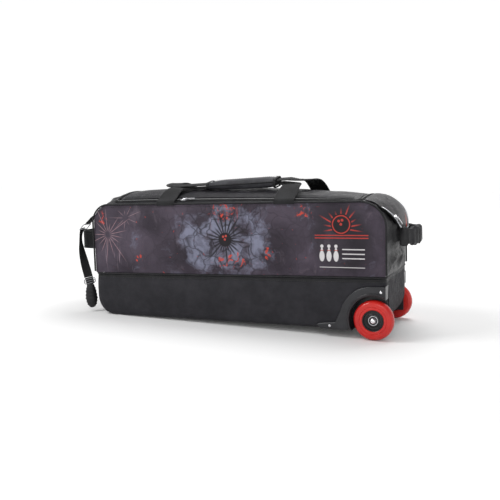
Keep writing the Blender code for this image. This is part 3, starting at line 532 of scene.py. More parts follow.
def build_materials():
    made = {
        "print": print_look(),
        "end_print": end_print_look(),
        "webbing": webbing_look(),
        "base": cloth("base_cloth", (0.017, 0.0165, 0.020), (0.027, 0.026, 0.031), 0.66, 0.0018, 0.00022,
                      0.0003, 18.0, Specular_IOR_Level=0.18),
        "black": cloth("black_cloth", (0.0055, 0.0055, 0.0065), (0.013, 0.0125, 0.015), 0.40, 0.0016,
                       0.00018, 0.0009, 34.0, Specular_IOR_Level=0.34),
        "lid": cloth("lid_cloth", (0.009, 0.0085, 0.011), (0.019, 0.018, 0.023), 0.46, 0.0016, 0.00018,
                     0.0007, 26.0, Specular_IOR_Level=0.38),
        "band": cloth("band_cloth", (0.012, 0.012, 0.014), (0.022, 0.021, 0.025), 0.60, 0.0018, 0.00020,
                      0.0003, 24.0, Specular_IOR_Level=0.22),
        "wrap": cloth("wrap_cloth", (0.020, 0.020, 0.024), (0.042, 0.042, 0.048), 0.60, 0.0022, 0.00030,
                      0.0004, 40.0, Specular_IOR_Level=0.30),
        "lining": cloth("lining", (0.030, 0.030, 0.032), (0.045, 0.045, 0.048), 0.85, 0.0022, 0.00020),
        "binding": cloth("binding", (0.005, 0.005, 0.006), (0.011, 0.011, 0.013), 0.50, 0.0014, 0.00020,
                         0.0002, 60.0, Specular_IOR_Level=0.28),
        "zip_tape": cloth("zip_tape", (0.008, 0.008, 0.009), (0.014, 0.014, 0.016), 0.72, 0.0012, 0.00022,
                          Specular_IOR_Level=0.2),
        "thread": cloth("thread", (0.018, 0.018, 0.021), (0.036, 0.036, 0.040), 0.55, 0.0008, 0.0001),
        "coil": moulded("zip_coil", (0.012, 0.012, 0.013), (0.020, 0.020, 0.022), 0.35),
        "silver_coil": metal("silver_coil", (0.72, 0.73, 0.76), 0.30),
        "plastic": moulded("moulded_plastic", (0.010, 0.010, 0.0125), (0.018, 0.018, 0.021), 0.30,
                           1100.0, 0.00008, Specular_IOR_Level=0.42),
        "grip": moulded("grip_rubber", (0.007, 0.007, 0.008), (0.013, 0.013, 0.015), 0.50, 700.0, 0.00018,
                        Specular_IOR_Level=0.3),
        "tyre": moulded("urethane", (0.40, 0.009, 0.009), (0.50, 0.016, 0.011), 0.26, 500.0, 0.00006,
                        Specular_IOR_Level=0.42),
        "hub": moulded("hub_plastic", (0.005, 0.005, 0.006), (0.011, 0.011, 0.012), 0.30, 900.0, 0.00008,
                       Specular_IOR_Level=0.40),
        "foam": moulded("cup_foam", (0.040, 0.040, 0.043), (0.062, 0.062, 0.066), 0.90, 420.0, 0.0006),
        "board": moulded("board", (0.024, 0.024, 0.024), (0.036, 0.036, 0.036), 0.60, 300.0, 0.0002),
        "steel": metal("steel", (0.66, 0.66, 0.68), 0.24),
        "bright": metal("bright_steel", (0.86, 0.86, 0.88), 0.14),
        "dark_metal": metal("dark_metal", (0.16, 0.16, 0.17), 0.34),
    }
    return made


# Shapes ----------------------------------------------------------------------------------

def seam_height(x):
    """Height of the seam between the base and the printed sides."""
    return SEAM_LEFT + (SEAM_RIGHT - SEAM_LEFT) * (x / BAG_LENGTH + 0.5)


def crown(x):
    """How far the middle of the top stands above the panels' top edges."""
    reach = CROWN_REACH[-1 if x < CROWN_PEAK_X else 1]
    return CROWN * (1 - abs((x - CROWN_PEAK_X) / reach) ** 3)


def across(y):
    """Share of the full bulge at a distance y from the middle plane."""
    return 1 - (y / HALF_WIDTH) ** 2


def top_height(x, y):
    return PANEL_TOP + crown(x) * across(y)


def top_normal(x, y):
    return Vector((0, 2 * y * crown(x) / HALF_WIDTH ** 2, 1)).normalized()


def normal_at(point):
    return top_normal(point.x, point.y)


def on_top(x, y, lift=0.0):
    return Vector((x, y, top_height(x, y))) + top_normal(x, y) * lift


def blend(a, b, share):
    return a + (b - a) * share


def ease(value):
    value = min(max(value, 0.0), 1.0)
    return value * value * (3 - 2 * value)


def end_reach(side):
    """Distance from the seam, over the shoulder, to the end of the lid."""
    radius = SHOULDER_RADIUS[side]
    rise = PANEL_TOP - radius - seam_height(side * HALF_LENGTH) - SEAM_ROOM
    return rise + radius * math.pi / 2 + HALF_LENGTH - radius - LID_END - GAP


def end_point(side, distance, y, lift=0.0):
    """A point of an end panel and its normal: distance runs up the end from the seam and over
    the shoulder, and y is across the bag."""
    radius = SHOULDER_RADIUS[side]
    foot = seam_height(side * HALF_LENGTH) + SEAM_ROOM
    rise = PANEL_TOP - radius - foot
    turn = radius * math.pi / 2
    if distance < rise:
        x, z, angle = HALF_LENGTH, foot + distance, 0.0
    elif distance < rise + turn:
        angle = (distance - rise) / radius
        x = HALF_LENGTH - radius + radius * math.cos(angle)
        z = PANEL_TOP - radius + radius * math.sin(angle)
    else:
        x, z, angle = HALF_LENGTH - radius - (distance - rise - turn), PANEL_TOP, math.pi / 2
    belly = math.sin(min(distance / rise, 1.0) * math.pi / 2)
    bulge = blend(FOOT_BULGE, END_BULGE[side], belly)
    bulge = blend(bulge, crown(side * LID_END), ease((distance - rise) / (end_reach(side) - rise)))
    normal = Vector((side * math.cos(angle), 0, math.sin(angle)))
    return Vector((side * x, y, z)) + normal * (bulge * across(y) + lift), normal


def arc(centre_x, centre_z, radius, start, end, steps):
    """Points of an arc, with its angles in degrees."""
    angles = [math.radians(blend(start, end, i / steps)) for i in range(steps + 1)]
    return [(centre_x + radius * math.cos(a), centre_z + radius * math.sin(a)) for a in angles]


def panel_outline(room, grow=0.0, steps=16):
    """Front view of a printed side, from its lower right corner round to its lower left one."""
    right = SHOULDER_RADIUS[1]
    left = SHOULDER_RADIUS[-1]
    outline = [(HALF_LENGTH + grow, seam_height(HALF_LENGTH) + room)]
    outline += arc(HALF_LENGTH - right, PANEL_TOP - right, right + grow, 0, 90, steps)
    outline += arc(-HALF_LENGTH + left, PANEL_TOP - left, left + grow, 90, 180, steps)
    outline.append((-HALF_LENGTH - grow, seam_height(-HALF_LENGTH) + room))
    return outline


def plan_ring(inset, z_at, x_left, x_right, half_width, corner=0.012, steps=6):
    """A level rounded rectangle, as points in order round the bag."""
    radius = max(corner - inset, 0.004)
    ring = []
    for sx, sy, start in ((1, -1, 270), (1, 1, 0), (-1, 1, 90), (-1, -1, 180)):
        centre_x = (x_right - inset - radius) if sx > 0 else (x_left + inset + radius)
        centre_y = sy * (half_width - inset - radius)
        ring += [(x, y, z_at(x)) for x, y in arc(centre_x, centre_y, radius, start, start + 90, steps)]
    return ring


def resample(path, spacing, closed=False):
    """Points at even spacing along a path."""
    points = [Vector(p) for p in path]
    if closed:
        points.append(points[0])
    lengths = [0.0]
    for a, b in zip(points, points[1:]):
        lengths.append(lengths[-1] + (b - a).length)
    count = max(2, round(lengths[-1] / spacing))
    result = []
    place = 0
    for i in range(count if closed else count + 1):
        goal = lengths[-1] * i / count
        while place < len(points) - 2 and lengths[place + 1] < goal:
            place += 1
        run = lengths[place + 1] - lengths[place]
        result.append(points[place].lerp(points[place + 1], (goal - lengths[place]) / run if run else 0.0))
    return result


def rough(point, scale, size, seed=0.0):
    """A smooth random height at a point."""
    return noise.noise(Vector(point) * scale + Vector((seed, seed * 0.7, -seed))) * size


def creases(point, scale, size, seed=0.0):
    """Sharp-topped random folds, from 0 to size."""
    value = noise.noise(Vector(point) * scale + Vector((seed, -seed, seed * 0.3)))
    return size * (1 - min(abs(value) * 2.4, 1.0)) ** 2


def ring_faces(rings, count, closed=False, seam=True):
    """Four-sided faces between rings of count points. closed joins the last ring to the first,
    and seam joins the ends of each ring."""
    faces = []
    for i in range(rings if closed else rings - 1):
        here, there = i * count, (i + 1) % rings * count
        for j in range(count if seam else count - 1):
            k = (j + 1) % count
            faces.append((here + j, here + k, there + k, there + j))
    return faces


def end_faces(rings, count):
    """The two faces that close the first and the last ring."""
    return [tuple(range(count)), tuple(range((rings - 1) * count, rings * count))]


def grid_rim(rows, columns):
    """Numbers of a grid's outermost points, in order round it."""
    line = columns + 1
    rim = list(range(line)) + [i * line + columns for i in range(1, rows + 1)]
    rim += [rows * line + j for j in range(columns - 1, -1, -1)]
    return rim + [i * line for i in range(rows - 1, 0, -1)]


# Piece makers ----------------------------------------------------------------------------

MATERIALS = {}
SMOOTH_BELOW = math.radians(38)


def finish_piece(obj, body, replaces):
    if body:
        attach(obj, body)
    if replaces:
        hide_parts(*replaces)
    return obj


def piece(name, points, faces, material, uvs=None, body="bag", slot=None, replaces=(), inner=None,
          inner_from=None, place=BAG):
    """One mesh object, drawn in the bag's frame. Faces from number inner_from on take the inner
    material."""
    data = bpy.data.meshes.new(name)
    data.from_pydata([Vector(p) for p in points], [], faces)
    data.materials.append(MATERIALS[material])
    if inner:
        data.materials.append(MATERIALS[inner])
        for polygon in data.polygons[inner_from:]:
            polygon.material_index = 1
    if uvs:
        layer = data.uv_layers.new(name="cloth")
        for loop in data.loops:
            layer.data[loop.index].uv = uvs[loop.vertex_index]
    work = bmesh.new()
    work.from_mesh(data)
    bmesh.ops.recalc_face_normals(work, faces=work.faces)
    work.to_mesh(data)
    work.free()
    data.shade_smooth()
    data.set_sharp_from_angle(angle=SMOOTH_BELOW)
    obj = bpy.data.objects.new(name, data)
    obj.matrix_world = place
    bpy.context.scene.collection.objects.link(obj)
    return finish_piece(obj, body, replaces)


def join_shapes(shapes):
    """Several (points, faces, uvs) as one."""
    points, faces, uvs = [], [], []
    for more_points, more_faces, more_uvs in shapes:
        shift = len(points)
        points += more_points
        faces += [tuple(shift + k for k in face) for face in more_faces]
        uvs += more_uvs
    return points, faces, uvs


def cloth_sheet(name, surface, rows, columns, thickness, material, **options):
    """A closed sheet of even thickness. surface(u, v) gives a point of its outer side and the
    normal there, and may add the point's place on the UV map."""
    outer, inner, flat = [], [], []
    for i in range(rows + 1):
        for j in range(columns + 1):
            found = surface(i / rows, j / columns)
            outer.append(found[0])
            inner.append(found[0] - found[1] * thickness)
            flat.append(found[2] if len(found) > 2 else None)
    line = columns + 1
    if flat[0] is None:
        middle_row = rows // 2 * line
        middle_column = columns // 2
        down, over = [0.0], [0.0]
        for i in range(rows):
            step = outer[(i + 1) * line + middle_column] - outer[i * line + middle_column]
            down.append(down[-1] + step.length)
        for j in range(columns):
            over.append(over[-1] + (outer[middle_row + j + 1] - outer[middle_row + j]).length)
        flat = [(over[j], down[i]) for i in range(rows + 1) for j in range(line)]
    depth = len(outer)
    front, back = [], []
    for i in range(rows):
        for j in range(columns):
            a = i * line + j
            quad = (a, a + 1, a + line + 1, a + line)
            front.append(quad)
            back.append(tuple(depth + k for k in reversed(quad)))
    rim = grid_rim(rows, columns)
    edge = [(a, b, depth + b, depth + a) for a, b in zip(rim, rim[1:] + rim[:1])]
    options.setdefault("inner", "lining")
    return piece(name, outer + inner, front + edge + back, material, flat + flat,
                 inner_from=len(front) + len(edge), **options)


def sweep_shape(path, reference, section, closed=False):
    """Points, faces and UVs of a section swept along a path. reference is the direction of the
    section's first number, one vector or one for each point. section is a closed list of (first,
    second) offsets, or a function of the point's number that gives one."""
    path = [Vector(p) for p in path]
    last = len(path) - 1
    rings, marks = [], []
    run = 0.0
    for i, point in enumerate(path):
        before = path[i - 1] if i or closed else point
        after = path[(i + 1) % len(path)] if i < last or closed else point
        tangent = (after - before).normalized()
        first = Vector(reference[i]) if isinstance(reference, list) else Vector(reference)
        first = (first - tangent * first.dot(tangent)).normalized()
        second = tangent.cross(first)
        offsets = section(i) if callable(section) else section
        rings.append([point + first * a + second * b for a, b in offsets])
        if i:
            run += (point - path[i - 1]).length
        around, total = [], 0.0
        for j, (a, b) in enumerate(offsets):
            around.append(total)
            a2, b2 = offsets[(j + 1) % len(offsets)]
            total += math.hypot(a2 - a, b2 - b)
        marks += [(run, place) for place in around]
    count = len(rings[0])
    faces = ring_faces(len(rings), count, closed)
    if not closed:
        faces += end_faces(len(rings), count)
    return [p for ring in rings for p in ring], faces, marks


def joined(name, shapes, material, **options):
    """Several shapes as one piece."""
    points, faces, uvs = join_shapes(shapes)
    return piece(name, points, faces, material, uvs, **options)


def sweep(name, path, reference, section, material, closed=False, **options):
    points, faces, uvs = sweep_shape(path, reference, section, closed)
    return piece(name, points, faces, material, uvs, **options)


def circle(radius, steps=12, flatten=1.0):
    angles = [2 * math.pi * k / steps for k in range(steps)]
    return [(radius * math.cos(a), flatten * radius * math.sin(a)) for a in angles]


def band(width, thickness, steps=6):
    """Section of flat webbing, with its two long edges rounded."""
    half, thin = width / 2, thickness / 2
    side = half - thin
    upper = [(blend(side, -side, k / steps), thin) for k in range(steps + 1)]
    lower = [(-a, -b) for a, b in upper]
    return upper + [(-half, 0.0)] + lower + [(half, 0.0)]


def rounded_box(width, height, corner, steps=4):
    """Section with four rounded corners."""
    points = []
    for sx, sy, start in ((1, 1, 0), (-1, 1, 90), (-1, -1, 180), (1, -1, 270)):
        centre = (sx * (width / 2 - corner), sy * (height / 2 - corner))
        points += arc(*centre, corner, start, start + 90, steps)
    return points


def lathe_shape(profile, centre, steps, closed_profile=True):
    """A profile of (radius, y) points turned about a line along y."""
    points, uvs = [], []
    count = len(profile)
    for i in range(steps):
        angle = 2 * math.pi * i / steps
        run = 0.0
        for j, (r, y) in enumerate(profile):
            points.append(Vector((centre[0] + r * math.cos(angle), y, centre[1] + r * math.sin(angle))))
            if j:
                run += math.hypot(r - profile[j - 1][0], y - profile[j - 1][1])
            uvs.append((angle * WHEEL_RADIUS, run))
    faces = ring_faces(steps, count, True, closed_profile)
    if not closed_profile:
        faces.append(tuple(i * count for i in range(steps)))
        faces.append(tuple(i * count + count - 1 for i in range(steps)))
    return points, faces, uvs


def lathe(name, profile, centre, material, steps=64, closed_profile=True, **options):
    points, faces, uvs = lathe_shape(profile, centre, steps, closed_profile)
    return piece(name, points, faces, material, uvs, **options)


def stitches(name, rows, spacing=0.0050, length=0.0033, radius=0.00042, material="thread", **options):
    """Rows of short threads. Each row is (path, outward normal or a function of the point)."""
    shapes = []
    for path, outward in rows:
        dots = resample(path, spacing)
        for a, b in zip(dots, dots[1:]):
            run = (b - a).normalized()
            middle = (a + b) / 2
            up = outward(middle) if callable(outward) else Vector(outward)
            line = [middle + run * length * t + up * (radius * (1.0 - 4.0 * t * t) * 0.9)
                    for t in (-0.5, -0.25, 0.25, 0.5)]
            widths = (0.45, 1.0, 1.0, 0.45)
            shapes.append(sweep_shape(line, up, lambda i: circle(radius * widths[i], 6)))
    return joined(name, shapes, material, **options)


def coil(name, path, outward, pitch, width, height, material, keep=lambda i: True, **options):
    """A zip's teeth: one small rounded bar across the path at each pitch."""
    dots = resample(path, pitch)
    shapes = []
    for i in range(1, len(dots) - 1):
        if not keep(i):
            continue
        run = (dots[i + 1] - dots[i - 1]).normalized()
        up = outward(dots[i]) if callable(outward) else Vector(outward)
        side = up.cross(run).normalized()
        lean = run * pitch * 0.22
        bar = [dots[i] + side * width * t + lean * t + up * height * h
               for t, h in ((-0.5, 0.1), (-0.40, 0.5), (0.0, 0.62), (0.40, 0.5), (0.5, 0.1))]
        sizes = (0.5, 1.0, 1.0, 1.0, 0.5)
        shapes.append(sweep_shape(bar, up, lambda k: circle(pitch * 0.40 * sizes[k], 6)))
    return joined(name, shapes, material, **options)


# Sides and ends --------------------------------------------------------------------------

def panel_top(x):
    """Height of a printed side's top edge, with its rounded corners."""
    side = -1 if x < 0 else 1
    radius = SHOULDER_RADIUS[side]
    past = abs(x) - (HALF_LENGTH - radius)
    if past <= 0:
        return PANEL_TOP
    return PANEL_TOP - radius + math.sqrt(max(radius ** 2 - past ** 2, 0.0))


def build_panels():
    for side, name in ((-1, "front_panel"), (1, "rear_panel")):
        def surface(u, v, side=side):
            x = -HALF_LENGTH * math.cos(math.pi * blend(0.04, 0.96, u)) / math.cos(math.pi * 0.04)
            low = seam_height(x) + SEAM_ROOM
            z = blend(low, panel_top(x), v)
            inside = min(1.0, (1 - (x / HALF_LENGTH) ** 2) * 12) * min(1.0, 6 * v * (1 - v) + 0.05)
            puff = 0.0024 * inside + rough((x, side, z), 9.0, 0.0016, 4.0) * inside
            puff += creases((x * 0.5, side, z * 1.5), 11.0, 0.0009, 9.0) * inside
            return Vector((x, side * (HALF_WIDTH + puff), z)), Vector((0, side, 0)), (x, z)
        cloth_sheet(f"{name}_cloth", surface, 150, 40, FABRIC, "print", slot="print", replaces=(name,))
    for side, name in ((-1, "left_end_panel"), (1, "right_end_panel")):
        def surface(u, v, side=side):
            distance = u * end_reach(side)
            y = blend(-FACE_IN, FACE_IN, v)
            point, normal = end_point(side, distance, y)
            inside = min(1.0, 8 * v * (1 - v)) * min(1.0, 10 * u) * ease((1 - u) * 5)
            dent = creases(point, 15.0, 0.0070, 3.0 + side) + creases(point, 30.0, 0.0030, 8.0)
            dent += rough(point, 14.0, 0.0034, 5.0)
            return point + normal * ((dent - 0.0050) * inside), normal
        cloth_sheet(f"{name}_cloth", surface, 60, 56, FABRIC, "black", slot="black_fabric",
                    replaces=(name,))


def build_piping():
    ring = plan_ring(-0.0006, seam_height, -HALF_LENGTH, HALF_LENGTH, HALF_WIDTH, steps=8)
    path = resample(ring, 0.006, closed=True)
    sweep("base_seam_piping", path, UP, circle(PIPING_RADIUS, 14), "binding", closed=True,
          slot="piping", replaces=("base_piping",))
    flat = plan_ring(-0.0002, lambda x: seam_height(x) - 0.0068, -HALF_LENGTH, HALF_LENGTH, HALF_WIDTH)
    sweep("base_seam_tape", resample(flat, 0.006, closed=True), UP, band(0.0085, 0.0010), "binding",
          closed=True, slot="piping")
    low = plan_ring(-0.0008, lambda x: seam_height(x) - 0.0092, -HALF_LENGTH, HALF_LENGTH, HALF_WIDTH)
    low.append(low[0])

    def outward(point):
        if abs(point.x) < HALF_LENGTH - 0.006:
            return Vector((0, math.copysign(1, point.y), 0))
        return Vector((math.copysign(1, point.x), 0, 0))
    stitches("base_seam_stitches", [(low, outward)], slot="piping")
    for side, name in ((-1, "front"), (1, "rear")):
        outline = resample([(x, 0, z) for x, z in panel_outline(2 * SEAM_ROOM, PIPING_RADIUS + GAP)], 0.005)
        path = [Vector((p.x, side * (HALF_WIDTH + 0.0010), p.z)) for p in outline]
        sweep(f"{name}_edge_piping", path, ACROSS, circle(PIPING_RADIUS, 14), "binding", slot="piping",
              replaces=(f"{name}_piping",))
        inside = [(x, z) for x, z in panel_outline(0.006, -0.0046)]
        row = [Vector((x, side * (HALF_WIDTH + 0.0010), z)) for x, z in inside]
        stitches(f"{name}_panel_stitches", [(row, (0, side, 0))], slot="print")


# Base ------------------------------------------------------------------------------------

def heel_inset(z):
    if z >= HEEL_RADIUS:
        return 0.0
    return HEEL_RADIUS - math.sqrt(HEEL_RADIUS ** 2 - (HEEL_RADIUS - z) ** 2)


def edge_inset(z, radius=0.012):
    if z >= radius:
        return 0.0
    return radius - math.sqrt(radius ** 2 - (radius - z) ** 2)


def housing_profile(outer, inner, x_end, room=0.0, steps=18):
    """Front view of the wheel housing: an arch with a tapered foot along the base."""
    foot_z = WHEEL_Z - (ARCH_INNER ** 2 - (WHEEL_X - FOOT_CORNER_X) ** 2) ** 0.5
    profile = [(0.230, foot_z - room), (0.219 - room, 0.009), (0.226, 0.0135 + room), (0.262, 0.017 + room)]
    profile += arc(WHEEL_X, WHEEL_Z, outer, 168, 90, steps)
    profile.append((x_end, WHEEL_Z + outer))
    if inner:
        start = math.degrees(math.acos((x_end - WHEEL_X) / inner))
        profile += arc(WHEEL_X, WHEEL_Z, inner, start, 207.4, steps)
    else:
        profile.append((x_end, foot_z - room))
    return profile


def prism_shape(outline, y_start, y_end, rounding=0.0, steps=4):
    """An (x, z) outline extruded along y, with its rim at y_end rounded off."""
    count = len(outline)
    normals = []
    for i, (x, z) in enumerate(outline):
        ax, az = outline[i - 1]
        bx, bz = outline[(i + 1) % count]
        along = Vector((x - ax, z - az)).normalized() + Vector((bx - x, bz - z)).normalized()
        normals.append(Vector((-along.y, along.x)).normalized())
    area = sum(a[0] * b[1] - b[0] * a[1] for a, b in zip(outline, outline[1:] + outline[:1]))
    inward = 1 if area > 0 else -1
    way = math.copysign(1, y_end - y_start)
    rings = [(y_start, 0.0)]
    if rounding:
        for k in range(steps + 1):
            angle = math.pi / 2 * k / steps
            rings.append((y_end - way * rounding * (1 - math.sin(angle)), rounding * (1 - math.cos(angle))))
    else:
        rings.append((y_end, 0.0))
    points, uvs = [], []
    for y, inset in rings:
        for (x, z), normal in zip(outline, normals):
            moved = Vector((x, z)) + normal * inset * inward
            points.append(Vector((moved.x, y, moved.y)))
            uvs.append((moved.x, moved.y + y))
    return points, ring_faces(len(rings), count) + end_faces(len(rings), count), uvs


def base_shell():
    """The base cover: a tub of cloth that bellies a little between its floor and its seam."""
    levels = [0.0, 0.0006, 0.002, 0.004, 0.007, 0.012, 0.018, 0.027, 0.036, 0.045]
    levels += [0.053, 0.062, 0.072, 0.082, 0.092]
    rings = []
    for inset in (0.0, FABRIC):
        stack = []
        for level in levels:
            x_end = HALF_LENGTH - heel_inset(level)
            half = HALF_WIDTH - edge_inset(level)
            ring = plan_ring(inset, lambda x, z=level: z + inset, -x_end, x_end, half)
            stack.append(ring)
        stack.append(plan_ring(inset, lambda x: seam_height(x) - SEAM_ROOM, -HALF_LENGTH, HALF_LENGTH,
                               HALF_WIDTH))
        rings.append([ring_points(ring, 170) for ring in stack])
    outer, inner = rings
    shaped = []
    for ring in outer:
        line = []
        for point in ring:
            share = (point.z - 0.015) / (seam_height(point.x) - 0.018)
            belly = math.sin(math.pi * min(max(share, 0.0), 1.0))
            push = (0.0022 + rough(point, 8.0, 0.0022, 2.0) + creases(point, 13.0, 0.0012, 6.0)) * belly
            if abs(point.x) > HALF_LENGTH - 0.012 - heel_inset(point.z):
                out = Vector((math.copysign(1, point.x), 0, 0))
            else:
                out = Vector((0, math.copysign(1, point.y), 0))
            line.append(point + out * push)
        shaped.append(line)
    return shaped, inner


def ring_points(ring, count):
    """The same ring with even spacing on its four sides, for matching rings of other sizes."""
    points = [Vector(p) for p in ring]
    corner = len(points) // 4
    long_side, short_side = round(count * 0.36), round(count * 0.09)
    result = []
    for k in range(4):
        group = points[k * corner:(k + 1) * corner]
        following = points[(k + 1) * corner % len(points)]
        result += group
        steps = short_side if k % 2 == 0 else long_side
        result += [group[-1].lerp(following, i / steps) for i in range(1, steps)]
    return result


def build_base():
    outer, inner = base_shell()
    stack = outer + inner[::-1]
    count = len(stack[0])
    points = [p for ring in stack for p in ring]
    faces = ring_faces(len(stack), count) + end_faces(len(stack), count)
    uvs = [(p.x + p.y, p.z + p.y) for p in points]
    cover = piece("base_cover_cloth", points, faces, "base", uvs, slot="base_fabric",
                  replaces=("base_cover",))
    cutters = []
    profile = housing_profile(ARCH_OUTER + GAP, 0, HALF_LENGTH + 0.03, GAP)
    for side in (-1, 1):
        shape = prism_shape(profile, side * (HALF_WIDTH - WELL_DEPTH), side * (HALF_WIDTH + 0.02))
        cutters.append(cut_away(cover, shape))
    bake_modifiers(cover)
    for cutter in cutters:
        bpy.data.objects.remove(cutter, do_unlink=True)


def build_base_board():
    """The stiff floor panel inside the base, with its two rims chamfered."""
    left = -(HALF_LENGTH - HEEL_RADIUS - FABRIC - BOARD_ROOM)
    half = HALF_WIDTH - WELL_DEPTH - BOARD_ROOM
    low = FABRIC + GAP
    high = low + BOARD
    ring = plan_ring(0.0, lambda x: 0.0, left, BOARD_RIGHT, half, 0.02)
    points, uvs = [], []
    for z, inset in ((low, BOARD_CHAMFER), (low + BOARD_CHAMFER, 0.0),
                     (high - BOARD_CHAMFER, 0.0), (high, BOARD_CHAMFER)):
        for x, y, _ in ring:
            points.append(Vector((x * (1 - inset / 0.3), y * (1 - inset / 0.09), z)))
            uvs.append((x, y))
    faces = ring_faces(4, len(ring)) + end_faces(4, len(ring))
    piece("base_board_panel", points, faces, "board", uvs, slot="board", replaces=("base_board",))


def cut_away(obj, shape):
    """Adds a boolean that cuts a closed shape out of a piece, and returns the cutter."""
    data = bpy.data.meshes.new("cutter")
    data.from_pydata(shape[0], [], shape[1])
    work = bmesh.new()
    work.from_mesh(data)
    bmesh.ops.recalc_face_normals(work, faces=work.faces)
    work.to_mesh(data)
    work.free()
    cutter = bpy.data.objects.new("cutter", data)
    cutter.matrix_world = BAG
    bpy.context.scene.collection.objects.link(cutter)
    step = obj.modifiers.new("cut", "BOOLEAN")
    step.operation = "DIFFERENCE"
    step.solver = "EXACT"
    step.object = cutter
    return cutter


def bake_modifiers(obj):
    """Applies a piece's modifiers to its mesh."""
    bpy.context.view_layer.update()
    graph = bpy.context.evaluated_depsgraph_get()
    data = bpy.data.meshes.new_from_object(obj.evaluated_get(graph), depsgraph=graph)
    obj.modifiers.clear()
    old = obj.data
    obj.data = data
    bpy.data.meshes.remove(old)
    data.name = obj.name


def build_base_details():
    """Skid rails under the base, and the stitched seams down its two left corners."""
    places = (-0.300, -0.298, -0.20, -0.05, 0.10, 0.208, 0.210)
    sizes = (0.5, 1.0, 1.0, 1.0, 1.0, 1.0, 0.5)
    for side in (-1, 1):
        path = [Vector((x, side * 0.060, 0.0006)) for x in places]
        name = "front_skid_rail" if side < 0 else "rear_skid_rail"
        sweep(name, path, ACROSS,
              lambda i: [(a * sizes[i], b * sizes[i]) for a, b in rounded_box(0.014, 0.0030, 0.0012)],
              "plastic", slot="moulding")
    rows = []
    for side in (-1, 1):
        path = [Vector((heel_inset(z) - HALF_LENGTH + 0.013, side * (HALF_WIDTH + 0.0016), z))
                for z in (0.020, 0.040, 0.060, 0.080, 0.096)]
        rows.append((path, (0, side, 0)))
    stitches("base_corner_stitches", rows, slot="base_fabric")


# Top, lid and main zip -------------------------------------------------------------------

ZIP_CORNER = 0.010


def zip_line(offset, lift):
    """The main zip's line round the front and both ends of the lid. offset moves it outwards."""
    back = LID_HINGE_Y - 0.004
    radius = ZIP_CORNER + offset
    left = [(-LID_END - offset, y) for y in (back, 0.05, 0.0, -0.05)]
    turn_left = arc(-LID_END + ZIP_CORNER, -ZIP_MIDDLE + ZIP_CORNER, radius, 180, 270, 8)
    turn_right = arc(LID_END - ZIP_CORNER, -ZIP_MIDDLE + ZIP_CORNER, radius, 270, 360, 8)
    right = [(x * -1, y) for x, y in reversed(left)]
    flat = resample([(x, y, 0) for x, y in left + turn_left + turn_right + right], 0.0032)
    return [on_top(p.x, p.y, lift) for p in flat]


def build_top():
    """The lid's cloth and band, the strips beside it, the main zip and the cloth hinge."""
    build_lid()
    build_top_strips()
    build_main_zip()
    build_hinge_tape()


def build_lid():
    def lid(u, v):
        end = LID_END - 0.0078
        x = blend(-end, end, u)
        past = max(abs(x) - (end - ZIP_CORNER), 0.0)
        front = -ZIP_MIDDLE + ZIP_TAPE + GAP + ZIP_CORNER - math.sqrt(max(ZIP_CORNER ** 2 - past ** 2, 0.0))
        y = blend(front, LID_HINGE_Y - HINGE_GAP, v)
        inside = min(1.0, 9 * v * (1 - v)) * min(1.0, 12 * u * (1 - u))
        dent = creases((x, y * 1.4, 0), 9.0, 0.0016, 12.0) + rough((x, y, 0), 12.0, 0.0012, 7.0)
        dent -= 0.0022 * math.exp(-((y + 0.080) / 0.012) ** 2) * 0.4
        return on_top(x, y, (dent - 0.0012) * inside), top_normal(x, y)
    cloth_sheet("lid_cloth", lid, 130, 44, FABRIC, "lid", body="lid", slot="black_fabric",
                replaces=("lid_panel",))

    def border(u, v):
        x = blend(-LID_END + 0.020, LID_END - 0.020, u)
        y = blend(-ZIP_MIDDLE + ZIP_TAPE + 0.0012, -0.0835, v)
        return on_top(x, y, 0.0014 + 0.0005 * math.sin(math.pi * v)), top_normal(x, y)
    cloth_sheet("lid_front_band", border, 90, 5, 0.0012, "band", body="lid", slot="black_fabric",
                inner="band")
    rows = [([on_top(x, y, 0.0017) for x in (-0.29, -0.2, -0.1, 0.0, 0.1, 0.2, 0.29)],
             normal_at) for y in (-0.0975, -0.0855)]
    stitches("lid_band_stitches", rows, body="lid", slot="black_fabric")


def build_top_strips():
    """The strips of the bag's own top, in front of the zip and behind the hinge."""
    for side, name in ((-1, "front"), (1, "rear")):
        def strip(u, v, side=side):
            x = blend(-LID_END, LID_END, u)
            if side > 0:
                inner = LID_HINGE_Y + HINGE_GAP
            else:
                past = max(abs(x) - (LID_END - ZIP_CORNER), 0.0)
                reach = math.sqrt((ZIP_CORNER + STRIP_EDGE - ZIP_MIDDLE) ** 2 - past ** 2)
                inner = ZIP_MIDDLE - ZIP_CORNER + reach
            y = side * blend(inner, FACE_IN, v)
            return on_top(x, y), top_normal(x, y)
        cloth_sheet(f"{name}_top_strip_cloth", strip, 90, 4, FABRIC, "band", slot="black_fabric",
                    replaces=(f"{name}_top_strip",))
        y = side * (STRIP_EDGE + 0.0022 if side < 0 else LID_HINGE_Y + 0.0125)
        row = [on_top(x, y, 0.0004) for x in (-0.31, -0.2, -0.1, 0.0, 0.1, 0.2, 0.31)]
        stitches(f"{name}_strip_stitches", [(row, normal_at)], slot="black_fabric")


